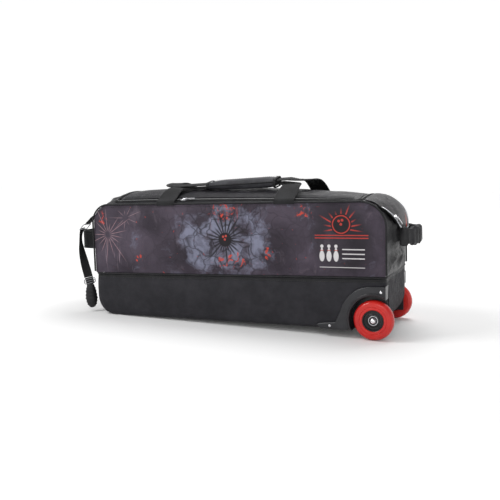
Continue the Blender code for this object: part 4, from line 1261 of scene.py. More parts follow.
def build_main_zip():
    """Two tapes and two rows of teeth, one of each on the bag and one on the lid."""
    tape = band(0.0060, 0.0010, 4)
    for offset, body, node in ((0.0031, "bag", "body_zip_tape"), (-0.0031, "lid", "lid_zip_tape")):
        path = zip_line(offset, 0.0004)
        sides = []
        for i, point in enumerate(path):
            run = (path[min(i + 1, len(path) - 1)] - path[max(i - 1, 0)]).normalized()
            sides.append(normal_at(point).cross(run))
        sweep(f"{node}_cloth", path, sides, tape, "zip_tape", body=body, slot="zip", replaces=(node,))
    line = zip_line(0.0, 0.0010)
    coil("body_zip_coil", line, normal_at, 0.0017, 0.0040, 0.0014, "coil", lambda i: i % 2 == 0,
         slot="zip")
    coil("lid_zip_coil", line, normal_at, 0.0017, 0.0040, 0.0014, "coil", lambda i: i % 2 == 1,
         body="lid", slot="zip")


def build_hinge_tape():
    """A soft tape behind the lid, which spans from the lid to the bag."""
    def hinge(u, v):
        x = blend(-LID_END + 0.004, LID_END - 0.004, u)
        y = blend(0.0925, 0.1105, v)
        return on_top(x, y, 0.0011), top_normal(x, y)
    strip = cloth_sheet("lid_hinge_tape", hinge, 80, 14, 0.0009, "binding", body=None, slot="piping",
                        inner="binding")
    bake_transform(strip)


# Wheels and housings ---------------------------------------------------------------------

def build_wheel(side, name):
    """A urethane tyre on its hub, with bearings, bolt, nut and spacer, under its housing."""
    face = HALF_WIDTH + WHEEL_PROUD
    inner = face - WHEEL_WIDTH
    middle = (face + inner) / 2
    half = WHEEL_WIDTH / 2
    centre = (WHEEL_X, WHEEL_Z)

    def ring(suffix, profile, material, node=None, body=name, slot=None, steps=72, closed=True):
        lathe(f"{name}_{suffix}", [(r, side * y) for r, y in profile], centre, material, steps,
              closed, body=body, slot=slot, replaces=(f"{name}_{node}",) if node else ())

    tread = []
    for a in range(-90, 91, 9):
        angle = math.radians(a)
        drop = half * (1 - max(math.cos(angle), 0.0)) * 0.66
        tread.append((WHEEL_RADIUS - drop, middle + half * math.sin(angle)))
    bore = HUB_RADIUS + GAP
    profile = [(bore, inner + 0.0006), (bore + 0.0006, inner)] + tread
    profile += [(0.0310, face), (0.0304, face - 0.0006), (0.0296, face - 0.0006), (0.0290, face),
                (bore + 0.0010, face), (bore, face - 0.0010)]
    ring("urethane_tyre", profile, "tyre", "tyre", slot="tyre", steps=96)

    seat = BEARING_RADIUS + GAP
    step = face - 0.007 - 0.004
    hub = [(HUB_RADIUS, inner + 0.001), (HUB_RADIUS, face - 0.0016), (HUB_RADIUS - 0.0006, face - 0.001),
           (HUB_RADIUS - 0.0022, face - 0.001), (HUB_RADIUS - 0.0028, face - 0.0018),
           (HUB_RADIUS - 0.0040, face - 0.0044), (seat + 0.0042, face - 0.0044),
           (seat + 0.0030, face - 0.0030), (seat + 0.0006, face - 0.0024), (seat, face - 0.0030),
           (seat, step), (BEARING_RADIUS - 0.0025, step), (BEARING_RADIUS - 0.0025, inner + 0.009),
           (seat, inner + 0.009), (seat, inner + 0.001)]
    ring("spoked_hub", hub, "hub", "hub", slot="hub")
    build_hub_ribs(side, name, face, seat)

    bore = 0.0043
    for label, low in (("outer_bearing", step + GAP), ("inner_bearing", inner + 0.0014)):
        high = low + 0.007
        rings = [(bore, low), (BEARING_RADIUS, low), (BEARING_RADIUS, high - 0.0004),
                 (BEARING_RADIUS - 0.0004, high), (BEARING_RADIUS - 0.0016, high),
                 (BEARING_RADIUS - 0.0020, high - 0.0007), (0.0068, high - 0.0007), (0.0064, high),
                 (bore + 0.0004, high), (bore, high - 0.0004)]
        ring(f"{label}_race", rings, "steel", label, slot="metal", steps=48)
    seal = step + GAP + 0.007 - 0.0007
    shield = [(0.0069, seal), (0.0089, seal), (0.0089, seal + 0.0004), (0.0078, seal + 0.0006),
              (0.0069, seal + 0.0004)]
    ring("bearing_shield", shield, "grip", slot="metal", steps=48)

    cheek_face = HALF_WIDTH - WELL_DEPTH + GAP
    nut_low = cheek_face - 0.0065
    head = face + 0.0005
    bolt = [(0.0040, nut_low - 0.002), (0.0040, head - 0.0025), (0.0058, head - 0.0025),
            (0.0062, head - 0.0019), (0.0062, head - 0.0009), (0.0056, head + 0.0006),
            (0.0043, head + 0.0019), (0.0026, head + 0.0028), (0.0023, head + 0.0029),
            (0.0021, head + 0.0016), (0.0004, head + 0.0016)]
    ring("axle_bolt_dome", bolt, "bright", "axle_bolt", "bag", "metal", 40, closed=False)
    washer = [(0.0043, cheek_face + CHEEK + GAP), (0.0066, cheek_face + CHEEK + GAP),
              (0.0070, cheek_face + CHEEK + GAP + 0.0004), (0.0070, inner - GAP), (0.0043, inner - GAP)]
    ring("axle_spacer_ring", washer, "steel", "axle_spacer", "bag", "metal", 32)
    build_nut(side, name, nut_low, cheek_face - GAP)
    build_housing(side, name, cheek_face, face)


def build_hub_ribs(side, name, face, seat):
    """Short ribs between the hub's boss and its rim."""
    shapes = []
    for k in range(10):
        angle = 2 * math.pi * (k + 0.5) / 10
        out = Vector((math.cos(angle), 0, math.sin(angle)))
        centre = Vector((WHEEL_X, side * (face - 0.0037), WHEEL_Z))
        places = (seat + 0.0034, seat + 0.0050, HUB_RADIUS - 0.0045, HUB_RADIUS - 0.0030)
        path = [centre + out * r for r in places]
        shapes.append(sweep_shape(path, ACROSS, rounded_box(0.0028, 0.0016, 0.0005, 2)))
    joined(f"{name}_hub_ribs", shapes, "hub", body=name, slot="hub")


def build_nut(side, name, low, high):
    """A hexagonal nut with its corners turned off, as rings of 24 outer and 24 bore points."""
    count = 24
    bore = 0.0043
    points, uvs = [], []
    for y, size in ((low, 0.0060), (low + 0.0007, 0.0068), (high - 0.0004, 0.0068), (high, 0.0064)):
        for outer in (True, False):
            for k in range(count):
                angle = 2 * math.pi * k / count
                radius = bore
                if outer:
                    flat = math.cos(math.pi / 6) / math.cos((angle % (math.pi / 3)) - math.pi / 6)
                    radius = (size if k % 4 else size * 0.999) * flat
                points.append(Vector((WHEEL_X + radius * math.cos(angle), side * y,
                                      WHEEL_Z + radius * math.sin(angle))))
                uvs.append((radius, y))
    faces = []
    ring = 2 * count
    top = 3 * ring
    for k in range(count):
        n = (k + 1) % count
        for i in range(3):
            a, b = i * ring, (i + 1) * ring
            faces.append((a + k, a + n, b + n, b + k))
            faces.append((a + count + n, a + count + k, b + count + k, b + count + n))
        faces.append((k, count + k, count + n, n))
        faces.append((top + k, top + n, top + count + n, top + count + k))
    piece(f"{name}_lock_nut", points, faces, "steel", uvs, slot="metal",
          replaces=(f"{name}_axle_nut",))


def build_housing(side, name, cheek_face, face):
    """A moulded arch over the wheel, with a cheek behind it, a raised rim and two rivets."""
    x_end = HALF_LENGTH + 0.0010
    outer_y = side * (face - 0.002)
    profile = housing_profile(ARCH_OUTER, ARCH_INNER, x_end)
    arch = prism_shape(profile, side * cheek_face, outer_y, 0.0030, 5)
    cheek = arc(WHEEL_X, WHEEL_Z, ARCH_OUTER - 0.010, 196, 90, 16)
    cheek += [(x_end - 0.001, WHEEL_Z + ARCH_OUTER - 0.010), (x_end - 0.001, 0.006)]
    plate = prism_shape(cheek, side * (cheek_face + 0.00005), side * (cheek_face + CHEEK), 0.0008, 2)
    rim_path = [(x, outer_y, z) for x, z in arc(WHEEL_X, WHEEL_Z, ARCH_INNER + 0.0052, 66, 202, 34)]
    rim = sweep_shape(rim_path, ACROSS, circle(0.0017, 10))
    low, high = cheek_face + CHEEK - 0.0005, cheek_face + CHEEK + 0.0002
    boss = lathe_shape([(r, side * y) for r, y in ((0.0043, low), (0.0120, low), (0.0112, high),
                                                   (0.0043, high))], (WHEEL_X, WHEEL_Z), 32)
    joined(f"{name}_moulded_arch", [arch, plate, rim, boss], "plastic", slot="moulding",
           replaces=(f"{name}_housing",))
    low = face - 0.002 + GAP
    rivet = [(0.0004, low - 0.0015), (0.0026, low - 0.0015), (0.0030, low), (0.0030, low + 0.0006),
             (0.0024, low + 0.0013), (0.0015, low + 0.0017), (0.0004, low + 0.0018)]
    rivet = [(r, side * y) for r, y in rivet]
    lathe(f"{name}_rivet_head", rivet, FOOT_RIVET, "steel", 24, False, slot="metal",
          replaces=(f"{name}_housing_rivet",))
    lathe(f"{name}_arch_rivet", rivet, (WHEEL_X + 0.0175, WHEEL_Z + 0.0632), "bright", 24, False,
          slot="metal")


# Inside ----------------------------------------------------------------------------------

def build_inside():
    floor = FABRIC + BOARD + 2 * GAP
    for name, column in (("left_ball_cup", -1), ("middle_ball_cup", 0), ("right_ball_cup", 1)):
        middle = column * COMPARTMENT
        low = -HALF_LENGTH + 0.034 if column < 0 else middle - COMPARTMENT / 2 + DIVIDER
        high = HALF_LENGTH - 0.034 if column > 0 else middle + COMPARTMENT / 2 - DIVIDER
        depth = HALF_WIDTH - WELL_DEPTH - 0.0115 if column > 0 else HALF_WIDTH - FABRIC - 0.012
        hole = min(CUP_HOLE, (high - low) / 2 - 0.012)
        build_cup(name, (low + high) / 2, (high - low) / 2, depth, hole, floor)
    for name, side in (("left_divider", -1), ("right_divider", 1)):
        build_divider(name, side * COMPARTMENT / 2, floor)


def build_cup(name, centre_x, half_x, half_y, hole, floor):
    """A foam block with rounded edges and a flared round well that one ball sits in."""
    top = floor + CUP_HEIGHT
    rounding = 0.005
    # Which side it is on, its inset from the outside or its distance from the middle, and height
    profile = [("out", 0.001, floor), ("out", 0.0, floor + 0.001), ("out", 0.0, top - rounding)]
    profile += [("out", rounding * (1 - math.cos(a)), top - rounding * (1 - math.sin(a)))
                for a in (math.pi / 6, math.pi / 3, math.pi / 2)]
    profile += [("in", hole + step, z) for step, z in (
        (0.003, top), (0.0008, top - 0.0010), (-0.0004, top - 0.0040), (-0.0050, floor + CUP_HEIGHT * 0.5),
        (-0.0080, floor + CUP_HEIGHT * 0.3), (-0.0120, floor))]
    steps = 96
    power = 9.0
    points, uvs = [], []
    for i in range(steps):
        angle = 2 * math.pi * i / steps
        run = Vector((math.cos(angle), math.sin(angle), 0))
        for kind, value, z in profile:
            scale = value
            if kind == "out":
                total = abs(run.x / (half_x - value)) ** power + abs(run.y / (half_y - value)) ** power
                scale = total ** (-1 / power)
            points.append(Vector((centre_x, 0, z)) + run * scale)
            uvs.append((run.x * scale, run.y * scale))
    faces = ring_faces(steps, len(profile), closed=True)
    piece(f"{name}_foam", points, faces, "foam", uvs, slot="foam", replaces=(name,))


def build_divider(name, x, floor):
    """A padded wall: two slightly quilted faces and a bound top edge."""
    half_y = HALF_WIDTH - FABRIC - 0.012
    top = 0.175 - 0.0015
    rows, columns = 30, 40
    points, faces, uvs = [], [], []
    for side in (-1, 1):
        for i in range(rows + 1):
            for j in range(columns + 1):
                u, v = j / columns, i / rows
                rim = min(1.0, 40 * u * (1 - u)) * min(1.0, 30 * v * (1 - v))
                quilt = 0.6 + 0.4 * abs(math.sin(math.pi * u * 4) * math.sin(math.pi * v * 3))
                thick = DIVIDER / 2 * blend(0.45, 0.92 * quilt + 0.06, rim)
                y, z = blend(-half_y, half_y, u), blend(floor, top, v)
                points.append(Vector((x + side * thick, y, z)))
                uvs.append((y, z))
    line, depth = columns + 1, (rows + 1) * (columns + 1)
    for i in range(rows):
        for j in range(columns):
            a = i * line + j
            faces.append((a, a + 1, a + line + 1, a + line))
            faces.append((depth + a, depth + a + line, depth + a + line + 1, depth + a + 1))
    rim = grid_rim(rows, columns)
    faces += [(a, b, depth + b, depth + a) for a, b in zip(rim, rim[1:] + rim[:1])]
    piece(f"{name}_pad", points, faces, "lining", uvs, slot="foam", replaces=(name,))
    path = [Vector((x, y, top)) for y in (-half_y, -half_y / 2, 0, half_y / 2, half_y)]
    sweep(f"{name}_binding", path, ALONG, rounded_box(0.0052, 0.0080, 0.0024), "binding", slot="piping")


# Carry handles ---------------------------------------------------------------------------

def wrap_centre(x):
    share = (x - WRAP_LEFT) / (WRAP_RIGHT - WRAP_LEFT)
    return Vector((x, WRAP_Y, blend(WRAP_Z_LEFT, WRAP_Z_RIGHT, share)))


def leg_plan(side, leg_x, inwards):
    """Plan view of one handle leg, from its sewn end to the wrap. Rows of x, y and the
    direction across the band."""
    start_y = side * HANDLE_PIVOT_Y
    turn_y = WRAP_Y + side * HANDLE_TURN
    centre = (leg_x + inwards * HANDLE_TURN, turn_y)
    straight = 10
    rows = [(leg_x, blend(start_y, turn_y, i / straight), 1, 0) for i in range(straight)]
    for i in range(17):
        angle = math.pi / 2 * i / 16
        out = (-inwards * math.cos(angle), -side * math.sin(angle))
        rows.append((centre[0] + HANDLE_TURN * out[0], centre[1] + HANDLE_TURN * out[1],
                     math.cos(angle), inwards * side * math.sin(angle)))
    return rows


def leg_rows(side, leg_x, inwards, drop):
    """Rows of position, direction across and width for one handle leg, from the foot that is
    sewn into the panel's top seam."""
    plan = leg_plan(side, leg_x, inwards)
    end_x, end_y = plan[-1][:2]
    foot_lift = HANDLE_PIVOT_Z - top_height(leg_x, side * HANDLE_PIVOT_Y)
    end_lift = wrap_centre(end_x).z - drop - top_height(end_x, end_y)
    runs = [0.0]
    for a, b in zip(plan, plan[1:]):
        runs.append(runs[-1] + math.hypot(b[0] - a[0], b[1] - a[1]))
    rows = []
    for (x, y, across_x, across_y), run in zip(plan, runs):
        share = run / runs[-1]
        lift = blend(foot_lift, end_lift, share)
        slope = blend(-2 * y * crown(x) / HALF_WIDTH ** 2, math.tan(WRAP_LEAN), share ** 4)
        width = blend(HANDLE_WIDTH, WRAP_WEBBING_WIDTH, share ** 2)
        lift += LEG_HUMP * math.sin(math.pi * min(share * 1.15, 1.0)) ** 2
        rows.append((Vector((x, y, top_height(x, y) + lift)),
                     Vector((across_x, across_y, across_y * slope)), width))
    foot = []
    for dy, dz in ((0.0056, -0.0124), (0.0062, -0.0080), (0.0050, -0.0040), (0.0026, -0.0012)):
        point = Vector((leg_x, side * (HANDLE_PIVOT_Y + dy), HANDLE_PIVOT_Z + dz))
        foot.append((point, Vector((1, 0, 0)), HANDLE_WIDTH))
    return foot + rows


def build_handle(side, name, drop):
    """One handle's webbing, which bends where its legs are sewn down, with stitched edges."""
    left = leg_rows(side, LEG_X[side][0], 1, drop)
    right = leg_rows(side, LEG_X[side][1], -1, drop)
    rows = left + [(point, -direction, width) for point, direction, width in reversed(right)]
    path = [row[0] for row in rows]
    references = [row[1] for row in rows]
    webbing = sweep(f"{name}_webbing_strap", path, references, lambda i: band(rows[i][2], STRAP),
                    "webbing", body=None, slot="webbing", replaces=(f"{name}_webbing",))
    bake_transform(webbing)
    edges = []
    for sign in (-1, 1):
        for leg in (rows[9:31], rows[-31:-9]):
            line = [p + d.normalized() * sign * (w / 2 - 0.0040) for p, d, w in leg]
            middle = (len(leg) - 1) // 2
            normal = leg[middle][1].cross(leg[middle + 1][0] - leg[middle][0]).normalized()
            normal = normal if normal.z > 0 else -normal
            edges.append(([p + normal * 0.0014 for p in line], UP))
    stitches(f"{name}_edge_stitches", edges, 0.0056, 0.0036, body=name, slot="webbing")
    for end, leg_x in zip(("left", "right"), LEG_X[side]):
        build_patch(f"{'front' if side < 0 else 'rear'}_{end}", leg_x, side)


def build_patch(prefix, x_middle, side):
    """The sewn-down end of one leg, and the bar tacks that hold it."""
    def surface(u, v):
        x = x_middle + blend(-0.5, 0.5, u) * HANDLE_WIDTH
        y = side * blend(FACE_IN - 0.0002, STRIP_EDGE + 0.0006, v)
        return on_top(x, y, 0.0020), top_normal(x, y)
    cloth_sheet(f"{prefix}_leg_patch", surface, 16, 3, 0.0016, "webbing", slot="webbing", inner="webbing",
                replaces=(f"{prefix}_handle_patch",))
    rows = []
    for shift in (-0.018, 0.0, 0.018):
        y = side * (STRIP_EDGE + 0.0022)
        row = [on_top(x_middle + shift + dx, y, 0.0023) for dx in (-0.005, 0.0, 0.005)]
        rows.append((row, normal_at))
    stitches(f"{prefix}_bar_tacks", rows, 0.0012, 0.0011, 0.0005, slot="webbing")


def build_wrap():
    """The padded sleeve that holds both handles together, puffed by a cloth simulation."""
    side_way = Vector((0, math.cos(WRAP_LEAN), math.sin(WRAP_LEAN)))
    steps = 46
    def wrap_height(x):
        return blend(PAD_LEFT, PAD_RIGHT, (x - WRAP_LEFT) / (WRAP_RIGHT - WRAP_LEFT))

    def pad_centre(x):
        return wrap_centre(x) + Vector((0, 0, WRAP_HEIGHT / 2 - wrap_height(x) / 2))

    path = [pad_centre(blend(WRAP_LEFT + 0.005, WRAP_RIGHT - 0.005, i / steps))
            for i in range(steps + 1)]
    shape = sweep_shape(path, side_way, lambda i: rounded_box(
        WRAP_WIDTH - 0.003, wrap_height(path[i].x) - 0.004, 0.0052, 5))
    wrap = piece("handle_wrap_pad", *shape[:2], "wrap", shape[2], body=None)
    puff(wrap, 0.0040, 0.0028, 0.0012)
    finish_piece(wrap, "rear_handle", ("handle_wrap",))
    for end, x in (("left", WRAP_LEFT + 0.0062), ("right", WRAP_RIGHT - 0.0062)):
        middle = pad_centre(x)
        up = side_way.cross(ALONG)
        loop = []
        for a, b in rounded_box(WRAP_WIDTH - 0.0010, wrap_height(x) - 0.0008, 0.0070, 6):
            loop.append(middle + side_way * a - up * b)
        sweep(f"handle_wrap_{end}_hem", resample(loop, 0.003, closed=True), ALONG,
              rounded_box(0.0066, 0.0014, 0.0006, 3), "binding", closed=True, body="rear_handle",
              slot="piping")
    middles = [blend(WRAP_LEFT + 0.010, WRAP_RIGHT - 0.010, i / 6) for i in range(7)]
    seam = [wrap_centre(x) + side_way * (-WRAP_WIDTH / 2 + 0.0010) - UP * 0.0015 for x in middles]
    sweep("handle_wrap_front_seam", resample(seam, 0.006), side_way, circle(0.0015, 10), "binding",
          body="rear_handle", slot="piping")
    up = ALONG.cross(side_way)
    rows = []
    for share in (-0.40, 0.40):
        rows.append(([wrap_centre(x) + side_way * WRAP_WIDTH * share + up * (WRAP_HEIGHT / 2 - 0.0006)
                      for x in middles], up))
    stitches("handle_wrap_stitches", rows, body="rear_handle", slot="black_fabric")


def puff(obj, voxel, cap, fullness):
    """Swells a closed piece as a padded one: an even remesh, a short cloth simulation under
    pressure, and a cap on how far each point may move."""
    step = obj.modifiers.new("even", "REMESH")
    step.mode = "VOXEL"
    step.voxel_size = voxel
    bake_modifiers(obj)
    start = [vertex.co.copy() for vertex in obj.data.vertices]
    scene = bpy.context.scene
    cloth_step = obj.modifiers.new("cloth", "CLOTH")
    settings = cloth_step.settings
    settings.quality = 6
    settings.use_pressure = True
    settings.uniform_pressure_force = 4.0
    settings.effector_weights.gravity = 0.0
    settings.mass = 0.3
    for frame_number in range(1, 21):
        scene.frame_set(frame_number)
    graph = bpy.context.evaluated_depsgraph_get()
    data = bpy.data.meshes.new_from_object(obj.evaluated_get(graph), depsgraph=graph)
    moved = [vertex.co.copy() for vertex in data.vertices]
    obj.modifiers.clear()
    scene.frame_set(1)
    bpy.data.meshes.remove(data)
    for vertex, old, new in zip(obj.data.vertices, start, moved):
        shift = new - old
        if shift.length > cap:
            shift = shift.normalized() * cap
        vertex.co = old + shift
    step = obj.modifiers.new("smooth", "SUBSURF")
    step.levels = step.render_levels = 1
    bake_modifiers(obj)
    obj.data.shade_smooth()


# Zip sliders and end pocket --------------------------------------------------------------

def build_slider(prefix, place, along, up, bodies, nodes, length=0.015, width=0.0056):
    """A slider body with its bridge, and a puller with a loop, a stem and a rounded tab."""
    side = up.cross(along).normalized()
    body = place + up * (0.0020 + GAP)
    shapes = []
    for lift, height in ((-0.0012, 0.0012), (0.0012, 0.0012)):
        path = [body + up * lift + along * length * t for t in (-0.5, -0.42, -0.1, 0.30, 0.46, 0.5)]
        sizes = (0.70, 0.90, 1.0, 1.0, 0.80, 0.60)
        shapes.append(sweep_shape(path, side, lambda i, h=height: [(a * sizes[i], b) for a, b in
                                                                   rounded_box(width, h, 0.0005, 2)]))
    post = [body + up * t + along * length * 0.2 for t in (-0.0010, 0.0010)]
    shapes.append(sweep_shape(post, side, rounded_box(0.0016, 0.0030, 0.0005, 2)))
    bridge = [body + up * (0.0014 + 0.0026 * math.sin(math.pi * t)) + along * length * (t - 0.5) * 0.66
              for t in (0.0, 0.12, 0.3, 0.5, 0.7, 0.88, 1.0)]
    shapes.append(sweep_shape(bridge, side, rounded_box(0.0020, 0.0010, 0.0004, 2)))
    joined(f"{prefix}_slider_body", shapes, "bright", body=bodies[0], slot="metal", replaces=(nodes[0],))

    pivot = place + up * 0.0056 + along * length * 0.35
    loop = [pivot + along * (0.0030 * math.cos(a) + 0.0022) + side * 0.0022 * math.sin(a)
            for a in [2 * math.pi * k / 20 for k in range(20)]]
    shapes = [sweep_shape(loop, up, circle(0.0006, 8), closed=True)]
    outline = ((0.0, 0.0012), (0.10, 0.0020), (0.30, 0.0023), (0.60, 0.0027), (0.85, 0.0029),
               (0.96, 0.0024), (1.0, 0.0012))
    path = [pivot + along * (0.0046 + 0.0220 * t) for t, _ in outline]
    shapes.append(sweep_shape(path, side, lambda i: rounded_box(outline[i][1] * 2, 0.0015, 0.0005, 2)))
    joined(f"{prefix}_pull_tab", shapes, "steel", body=bodies[1], slot="metal", replaces=(nodes[1],))


def build_main_slider():
    y = -(ZIP_MIDDLE + STRIP_EDGE - GAP) / 2
    x = -0.118
    up = top_normal(x, y)
    rise = top_height(x + 0.1, y) - top_height(x, y)
    along = Vector((0.1, 0, rise)).normalized()
    place = on_top(x, y, 0.0004)
    build_slider("main_zip", place, along, up, ("main_slider", "main_puller"),
                 ("zip_slider", "zip_puller"))


def pocket_line(t):
    """Distance up the right end of the pocket's curved zip, for t from -1 to 1 across it."""
    return blend(POCKET_DIP, POCKET_RISE, t * t)


def pocket_place(t, up_by=0.0, lift=POCKET_LIFT):
    return end_point(1, pocket_line(t) + up_by, t * POCKET_HALF, lift)


def build_pocket():
    top = end_reach(1) - 0.008

    def flap(u, v):
        t = blend(-0.97, 0.97, v)
        low = pocket_line(t) + 0.0045
        distance = blend(low, top, u)
        point, normal = end_point(1, distance, t * POCKET_HALF, POCKET_LIFT)
        inside = min(1.0, 8 * u * (1 - u)) * min(1.0, 8 * v * (1 - v))
        return point + normal * rough(point, 26.0, 0.0016, 2.0) * inside, normal, (t * POCKET_HALF, distance)
    cloth_sheet("pocket_flap_cloth", flap, 24, 60, 0.0014, "end_print", slot="print", inner="black",
                replaces=("pocket_flap",))

    def tape(u, v):
        return pocket_place(blend(-1, 1, v), blend(-0.0052, 0.0052, u))
    cloth_sheet("pocket_zip_tape_cloth", tape, 3, 70, 0.0012, "zip_tape", slot="zip", inner="zip_tape",
                replaces=("pocket_zip_tape",))
    spots = [blend(-0.98, 0.98, i / 80) for i in range(81)]
    line = [pocket_place(t, 0.0, POCKET_LIFT + 0.0004)[0] for t in spots]
    table = [pocket_place(t) for t in spots]

    def outward(point):
        return min(table, key=lambda row: (row[0] - point).length_squared)[1]
    coil("pocket_zip_coil", line, outward, 0.0018, 0.0046, 0.0016, "silver_coil", slot="metal")
    start, normal = pocket_place(-0.70)
    end, _ = pocket_place(-0.25)
    middle, _ = pocket_place(-0.475)
    along = (end - start).normalized()
    up = (normal - along * normal.dot(along)).normalized()
    spare = (middle - (start + end) / 2).dot(up)
    build_slider("pocket_zip", start + up * (0.0006 + max(spare, 0.0)), along, up,
                 ("end_slider", "end_puller"), ("pocket_slider", "pocket_puller"))


# Grab handles and tow strap --------------------------------------------------------------

def grab_path(side, root_x, reach, bow, squareness, steps):
    """Plan view of a grab handle that stands out of one end."""
    path = []
    for i in range(steps + 1):
        angle = math.pi * i / steps
        out = bow * math.sin(angle) ** squareness
        cosine = math.cos(angle)
        sweep_y = -math.copysign(abs(cosine) ** squareness, cosine)
        path.append(Vector((side * (root_x + out), reach * sweep_y, GRAB_Z[side])))
    return path


def build_grab_handles():
    left = resample(grab_path(-1, HALF_LENGTH + 0.0065, 0.100, 0.070, 0.55, 60), 0.004)
    sweep("left_grab_strap", left, UP, band(GRAB_WIDTH, 0.0030, 12), "webbing", slot="webbing",
          replaces=("left_grab_handle",))
    for share, name in ((-1, "lower"), (1, "upper")):
        path = [p + UP * share * (GRAB_WIDTH / 2 - 0.0022) for p in left]
        sweep(f"left_grab_{name}_binding", path, UP, rounded_box(0.0052, 0.0046, 0.0016, 3), "binding",
              slot="piping")
    rows = []
    for share in (-0.33, 0.33):
        for push in (1, -1):
            row = []
            for a, p, b in zip(left, left[1:], left[2:]):
                out = UP.cross(b - a).normalized() * push
                row.append(p + UP * GRAB_WIDTH * share + out * 0.0017)
            rows.append((row, lambda q, push=push: Vector((-push, 0, 0)) if abs(q.y) < 0.083 else
                         Vector((0, math.copysign(1, q.y), 0))))
    stitches("left_grab_stitches", rows, 0.0058, 0.0036, slot="webbing")

    right = resample(grab_path(1, HALF_LENGTH + 0.019, 0.058, 0.030, 0.75, 60), 0.0025)
    last = len(right) - 1

    def bunched(i):
        share = i / last
        body = math.sin(math.pi * share) ** 0.4
        gather = math.sin(share * math.pi * 9 + 0.4) * body
        tall = GRAB_WIDTH * (0.84 + 0.10 * gather + 0.05 * math.sin(share * math.pi * 2 + 0.6))
        thick = 0.0065 + 0.0070 * body * (1 + 0.35 * gather)
        return [(a, b) for a, b in rounded_box(tall, thick, thick * 0.46, 5)]
    handle = sweep("right_grab_pad", right, UP, bunched, "black", slot="black_fabric",
                   replaces=("right_grab_handle",))
    for vertex in handle.data.vertices:
        vertex.co += vertex.normal * (creases(vertex.co, 48.0, 0.0034, 4.0) - 0.0017)
    seam = [p + Vector((0.0062 * math.sin(math.pi * i / last), 0, 0.0)) for i, p in enumerate(right)]
    sweep("right_grab_middle_seam", seam[6:-6], UP, circle(0.0010, 8), "binding", slot="piping")


def spline_value(a, b, c, d, t):
    return 0.5 * (2 * b + (c - a) * t + (2 * a - 5 * b + 4 * c - d) * t ** 2
                  + (3 * b - a - 3 * c + d) * t ** 3)


def smooth_path(keys, steps):
    """A Catmull-Rom curve through the key rows, each row a tuple of numbers."""
    rows = []
    for i in range(len(keys) - 1):
        before = keys[max(i - 1, 0)]
        after = keys[min(i + 2, len(keys) - 1)]
        rows += [tuple(spline_value(a, b, c, d, j / steps) for a, b, c, d
                       in zip(before, keys[i], keys[i + 1], after)) for j in range(steps)]
    rows.append(tuple(keys[-1]))
    return rows


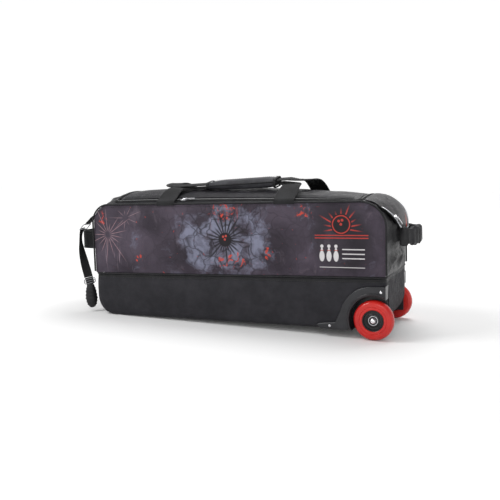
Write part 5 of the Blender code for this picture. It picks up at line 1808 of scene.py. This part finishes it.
def build_tow_strap():
    """A sewn tab, a wire ring in it, and the strap with its buckle and grip that hang there."""
    inner_bar = Vector((-0.4075, TOW_Y, 0.2330))
    outer_bar = Vector((-0.4215, TOW_Y, 0.2195))
    keys = [(-0.3775, TOW_Y, 0.2560), (-0.3865, TOW_Y, 0.2505), (-0.3965, TOW_Y, 0.2420),
            (-0.4045, TOW_Y, 0.2354)]
    tab = [Vector(row) for row in smooth_path(keys, 4)]
    sweep("tow_tab_webbing", tab, ACROSS, band(TOW_WIDTH, 0.0024), "webbing", slot="webbing",
          replaces=("tow_tab",))
    raised = Vector((-0.0006, 0, 0.0013))
    rows = [([p + ACROSS * s * 0.0078 + raised for p in tab[2:-3]], UP) for s in (-1, 1)]
    stitches("tow_tab_stitches", rows, 0.0042, 0.0028, slot="webbing")
    wide = Vector((0, TOW_WIDTH / 2 + 0.004, 0))
    corners = [inner_bar - wide, inner_bar + wide, outer_bar + wide, outer_bar - wide]
    loop = []
    for i, corner in enumerate(corners):
        before = (corners[i - 1] - corner).normalized() * 0.003
        after = (corners[(i + 1) % 4] - corner).normalized() * 0.003
        for t in (0.0, 0.25, 0.5, 0.75, 1.0):
            loop.append(corner + before * (1 - t) ** 2 + after * t ** 2)
    out = (outer_bar - inner_bar).cross(ACROSS).normalized()
    sweep("tow_wire_ring", loop, out, circle(0.0017, 12), "steel", closed=True, body="tow_strap",
          slot="metal", replaces=("tow_ring",))

    keys = [(-0.4253, TOW_Y, 0.2180, -0.20, 0.98, 0), (-0.4295, TOW_Y, 0.2040, -0.35, 0.94, 0),
            (-0.4310, TOW_Y, 0.1850, -0.30, 0.95, 0), (-0.4285, TOW_Y, 0.1600, 0.15, 0.99, 0),
            (-0.4215, TOW_Y, 0.1280, 0.60, 0.80, 0), (-0.4150, TOW_Y, 0.1040, 0.80, 0.60, 0),
            (-0.4125, TOW_Y, 0.0930, 0.80, 0.60, 0)]
    rows = smooth_path(keys, 8)
    path = [Vector(row[:3]) for row in rows]
    turns = [Vector(row[3:6]) for row in rows]
    wrap = [Vector((-0.4222, TOW_Y, 0.2222)), Vector((-0.4240, TOW_Y, 0.2212))]
    sweep("tow_strap_band", wrap + path, [turns[0]] * 2 + turns, band(TOW_WIDTH, 0.0022), "webbing",
          body="tow_strap", slot="webbing", replaces=("tow_strap_webbing",))
    along = Vector((0.25, 0, -0.97)).normalized()
    side = Vector((0.80, 0.60, 0)).normalized()
    side = (side - along * side.dot(along)).normalized()
    up = side.cross(along)
    middle = Vector((-0.4088, TOW_Y, 0.0830))
    frame_loop = []
    for a, b in rounded_box(0.0280, 0.0110, 0.0022, 4):
        frame_loop.append(middle + side * a + along * b)
    shapes = [sweep_shape(frame_loop, up, rounded_box(0.0040, 0.0020, 0.0006, 2), closed=True)]
    bar = [middle + side * t for t in (-0.0135, -0.006, 0.006, 0.0135)]
    shapes.append(sweep_shape(bar, up, rounded_box(0.0030, 0.0018, 0.0006, 2)))
    joined("tow_buckle", shapes, "dark_metal", body="tow_strap", slot="metal",
           replaces=("tow_adjuster",))
    feed = [middle + along * t for t in (-0.0100, -0.0050, 0.0, 0.0050, 0.0090)]
    sweep("tow_buckle_webbing", feed, side, band(TOW_WIDTH * 0.95, 0.0020), "webbing", body="tow_strap",
          slot="webbing")
    build_grip(side)


def build_grip(side):
    """A moulded grip that tapers to both ends, with finger ridges round it."""
    keys = ((0.0, 0.006), (0.04, 0.0088), (0.08, 0.010), (0.30, 0.0135), (0.60, 0.0152), (0.85, 0.0125),
            (0.95, 0.008), (1.0, 0.004))
    steps = 48
    path, sizes = [], []
    for i in range(steps + 1):
        share = i / steps
        path.append(Vector((blend(-0.4075, -0.4045, share), TOW_Y, blend(0.0760, 0.0125, share))))
        for (a, low), (b, high) in zip(keys, keys[1:]):
            if a <= share <= b:
                radius = blend(low, high, ease((share - a) / (b - a)))
        ridge = 0.0006 * math.sin(share * math.pi * 14) if 0.12 < share < 0.86 else 0.0
        sizes.append(radius + ridge)
    sweep("tow_grip_moulding", path, side, lambda i: circle(sizes[i], 28, 0.62), "grip", body="tow_strap",
          slot="moulding", replaces=("tow_grip",))


# Whole bag -------------------------------------------------------------------------------

def main():
    build_stage()
    MATERIALS.update(build_materials())
    build_panels()
    build_piping()
    build_base()
    build_base_details()
    build_base_board()
    build_top()
    for side, name in ((-1, "near_wheel"), (1, "far_wheel")):
        build_wheel(side, name)
    build_inside()
    build_handle(-1, "front_handle", WRAP_HEIGHT / 2 + STRAP / 2 + 0.0010)
    build_handle(1, "rear_handle", 0.0)
    build_wrap()
    build_main_slider()
    build_pocket()
    build_grab_handles()
    build_tow_strap()


main()
